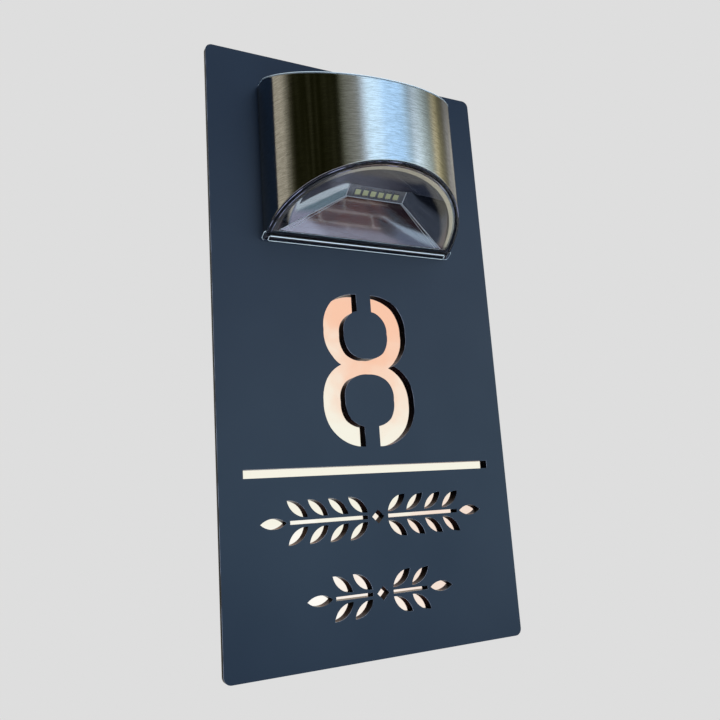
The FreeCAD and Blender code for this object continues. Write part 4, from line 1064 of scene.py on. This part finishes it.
def make_paving(east, north, place, grime):
    """Bricks, a stone course north of them, a pale slab west of both, and a kerb that bends away east."""
    stone = mix(grime, shade(138, 136, 150), shade(188, 180, 198))
    paving = mix(band(north, -0.692, -0.676), make_bricks(place, grime), stone)
    slab_edge = minus(east, times(plus(north, 0.683), 1.2))
    slab = mix(grime, shade(184, 184, 206), shade(214, 216, 240))
    paving = mix(band(slab_edge, 0.528, 0.5), paving, slab)

    along = minus(east, 0.652)
    slant = minus(0.62, times(along, 1.9))
    off_kerb = minus(north, minus(times(along, slant), 0.7195))
    damp = times(strip(off_kerb, 0.0, 0.01, 0.025, 0.05), band(east, 0.635, 0.652), 0.8)
    wet = mix(band(east, 0.66, 0.69), shade(44, 48, 58), shade(84, 98, 126))
    paving = mix(damp, paving, wet)
    shadow = times(band(off_kerb, 0.0, -0.01), band(east, 0.635, 0.68), 0.85)
    paving = mix(shadow, paving, shade(16, 22, 34))
    half_width = span(east, 0.662, 0.726, 0.0013, 0.0105)
    inside = math_node("DIVIDE", math_node("ABSOLUTE", off_kerb), half_width)
    kerb = times(band(inside, 1.3, 0.6), strip(east, 0.642, 0.667, 0.755, 0.775))
    return mix(kerb, paving, shade(188, 207, 226))


def make_north_ground(east, north, paving, grime):
    """Footing and border north of the paving, then dark ground with a glare and a sandy path on it."""
    footing = mix(grime, shade(50, 58, 71), shade(92, 100, 115))
    border = mix(grime, shade(92, 82, 86), shade(134, 120, 122))
    ground = mix(band(north, -0.42, -0.52), mix(band(east, 0.32, 0.45), footing, border), paving)
    ground = mix(band(north, -0.1, -0.03), ground, shade(16, 20, 28))
    across = strip(east, 0.43, 0.455, 0.48, 0.585)
    glare = times(strip(north, 0.03, 0.05, 0.078, 0.092), across)
    ground = mix(glare, ground, shade(200, 206, 226))
    bend = math_node("POWER", minus(north, 0.135), 2.0)
    beyond_bend = band(plus(times(bend, 8.0), east), 0.638, 0.65)
    path = times(band(north, 0.064, 0.054), band(east, 0.43, 0.5))
    sandy = times(band(north, -0.02, 0.03), largest(path, beyond_bend))
    sand = mix(grime, shade(212, 210, 198), shade(232, 227, 212))
    return mix(sandy, ground, sand)


def make_east_ground(east, north, place):
    """Pool of sky light, between a streaky verge south of it and a darker stretch north of it."""
    streaks = noise(stretched(place, (9, 60, 1)), 1.0, 3.0)
    dull = mix(streaks, shade(98, 126, 138), shade(158, 182, 196))
    verge = mix(band(east, 0.76, 0.73), shade(176, 178, 202), shade(132, 144, 166))
    verge = mix(band(east, 0.84, 0.8), dull, verge)
    upper = mix(band(north, 0.16, 0.2), verge, shade(108, 114, 134))
    pool = strip(north, 0.05, 0.09, 0.18, 0.25)
    return mix(pool, upper, bright(0.85, 0.85, 1.0, 1.1))


def make_ground(tree, axes):
    """What the lamp's underside mirrors."""
    drop = largest(times(axes["Z"], -1.0), 0.05)
    east = math_node("DIVIDE", axes["X"], drop)
    north = math_node("DIVIDE", axes["Y"], drop)
    from_corner = {"X": minus(east, 0.579), "Y": plus(north, 0.718)}    # off a corner of the bricks
    place = add_node(tree, "ShaderNodeCombineXYZ", from_corner).outputs[0]
    grime = noise(place, 26.0, 4.0)
    ground = make_north_ground(east, north, make_paving(east, north, place, grime), grime)
    east_side = times(band(north, -0.3, -0.1), band(east, 0.69, 0.73))
    return mix(east_side, ground, make_east_ground(east, north, place))


def make_high_sky(direction, height, turn, factor):
    """Pale sky between walls and dark leaves: shaded under eaves, with twigs and dapples of light."""
    high = azimuth_ramp(factor, ABOVE_STREET)
    eaves = times(band(turn, 0.62, 0.8), band(height, 0.43, 0.5), 0.48)
    high = mix(eaves, high, BLACK)
    twigs = noise(stretched(direction, (42, 42, 4)), 1.0, 4.0, 0.65)
    high = mix(band(twigs, 0.45, 0.72), high, mix(0.5, high, BLACK))
    dapple = noise(stretched(direction, (19, 19, 1.2)), 1.0, 3.0)
    light = times(band(dapple, 0.45, 0.65), 0.023)
    return mix(light, high, bright(1.0, 1.0, 1.0, 0.6))


def make_low_sky(height, factor, sway):
    """The street's far side, a bright belt above it and haze above that."""
    low = azimuth_ramp(plus(factor, times(sway, 0.05)), ALONG_STREET)
    swell = plus(height, times(sway, 0.3))
    belt = mix(band(swell, -0.02, 0.03), low, bright(1.5, 0.62, 1.0, 1.22))
    return mix(band(swell, 0.09, 0.24), belt, bright(0.96))


def make_world():
    """Plain paper for the camera, soft even light for surfaces, and a simple street for reflections."""
    world = bpy.data.worlds.new("surroundings")
    SCENE.world = world
    world.use_nodes = True
    tree = world.node_tree
    direction = add_node(tree, "ShaderNodeTexCoord").outputs["Generated"]
    axes = axes_of(direction)
    height = axes["Z"]
    turn = math_node("ARCTAN2", axes["X"], times(axes["Y"], -1.0))
    factor = plus(math_node("DIVIDE", turn, 2 * math.pi), 0.5)
    sway = minus(noise(direction, 9.5, 4.0), 0.5)
    high = make_high_sky(direction, height, turn, factor)
    low = make_low_sky(height, factor, sway)
    beside = band(math_node("ABSOLUTE", minus(turn, 0.45)), 0.65, 0.85)
    low_beside = times(beside, band(height, -0.1, 0.0))
    sky = mix(largest(band(height, 0.27, 0.33), low_beside), low, high)
    street = mix(band(height, -0.2, -0.45), sky, make_ground(tree, axes))
    rays = tree.nodes.new("ShaderNodeLightPath").outputs
    seen = mix(rays["Is Diffuse Ray"], street, bright(0.9, 0.98, 1.0, 1.02))
    seen = mix(rays["Is Camera Ray"], seen, PAPER)
    tree.links.new(seen, tree.nodes["Background"].inputs["Color"])


def soft_box(name, place, aim, width, height, energy):
    """Area lamp that isn't mirrored; place, aim and size in metres, energy in watts."""
    light = bpy.data.lights.new(name, "AREA")
    light.shape = "RECTANGLE"
    light.size = width
    light.size_y = height
    light.energy = energy
    lamp = bpy.data.objects.new(name, light)
    lamp.location = place
    lamp.rotation_mode = "QUATERNION"
    lamp.rotation_quaternion = (Vector(aim) - lamp.location).to_track_quat("-Z", "Y")
    lamp.visible_glossy = False
    lamp.visible_transmission = False
    SCENE.collection.objects.link(lamp)


def make_lights():
    """A large soft light above and right, and a weak one below that reaches into the lamp's underside."""
    soft_box("soft_box", (0.4, -1.0, 0.75), (0, 0, 0), 0.9, 0.7, 8.0)
    soft_box("ground_bounce", (-0.1, -0.55, -0.7), (0, -0.04, 0.07), 0.8, 0.5, 3.0)


def main():
    make_camera()
    make_shell()
    make_lens()
    make_top_cover()
    make_bar_highlights()
    make_rim_glints()
    make_top_cover_highlight()
    make_tray()
    make_skirt()
    make_ribs()
    make_light_engine()
    for carried in CARRIED_OVER:
        dress(*carried)
    make_floor()
    make_world()
    make_lights()
    SCENE.view_settings.view_transform = "Standard"


main()
bpy.context.view_layer.update()
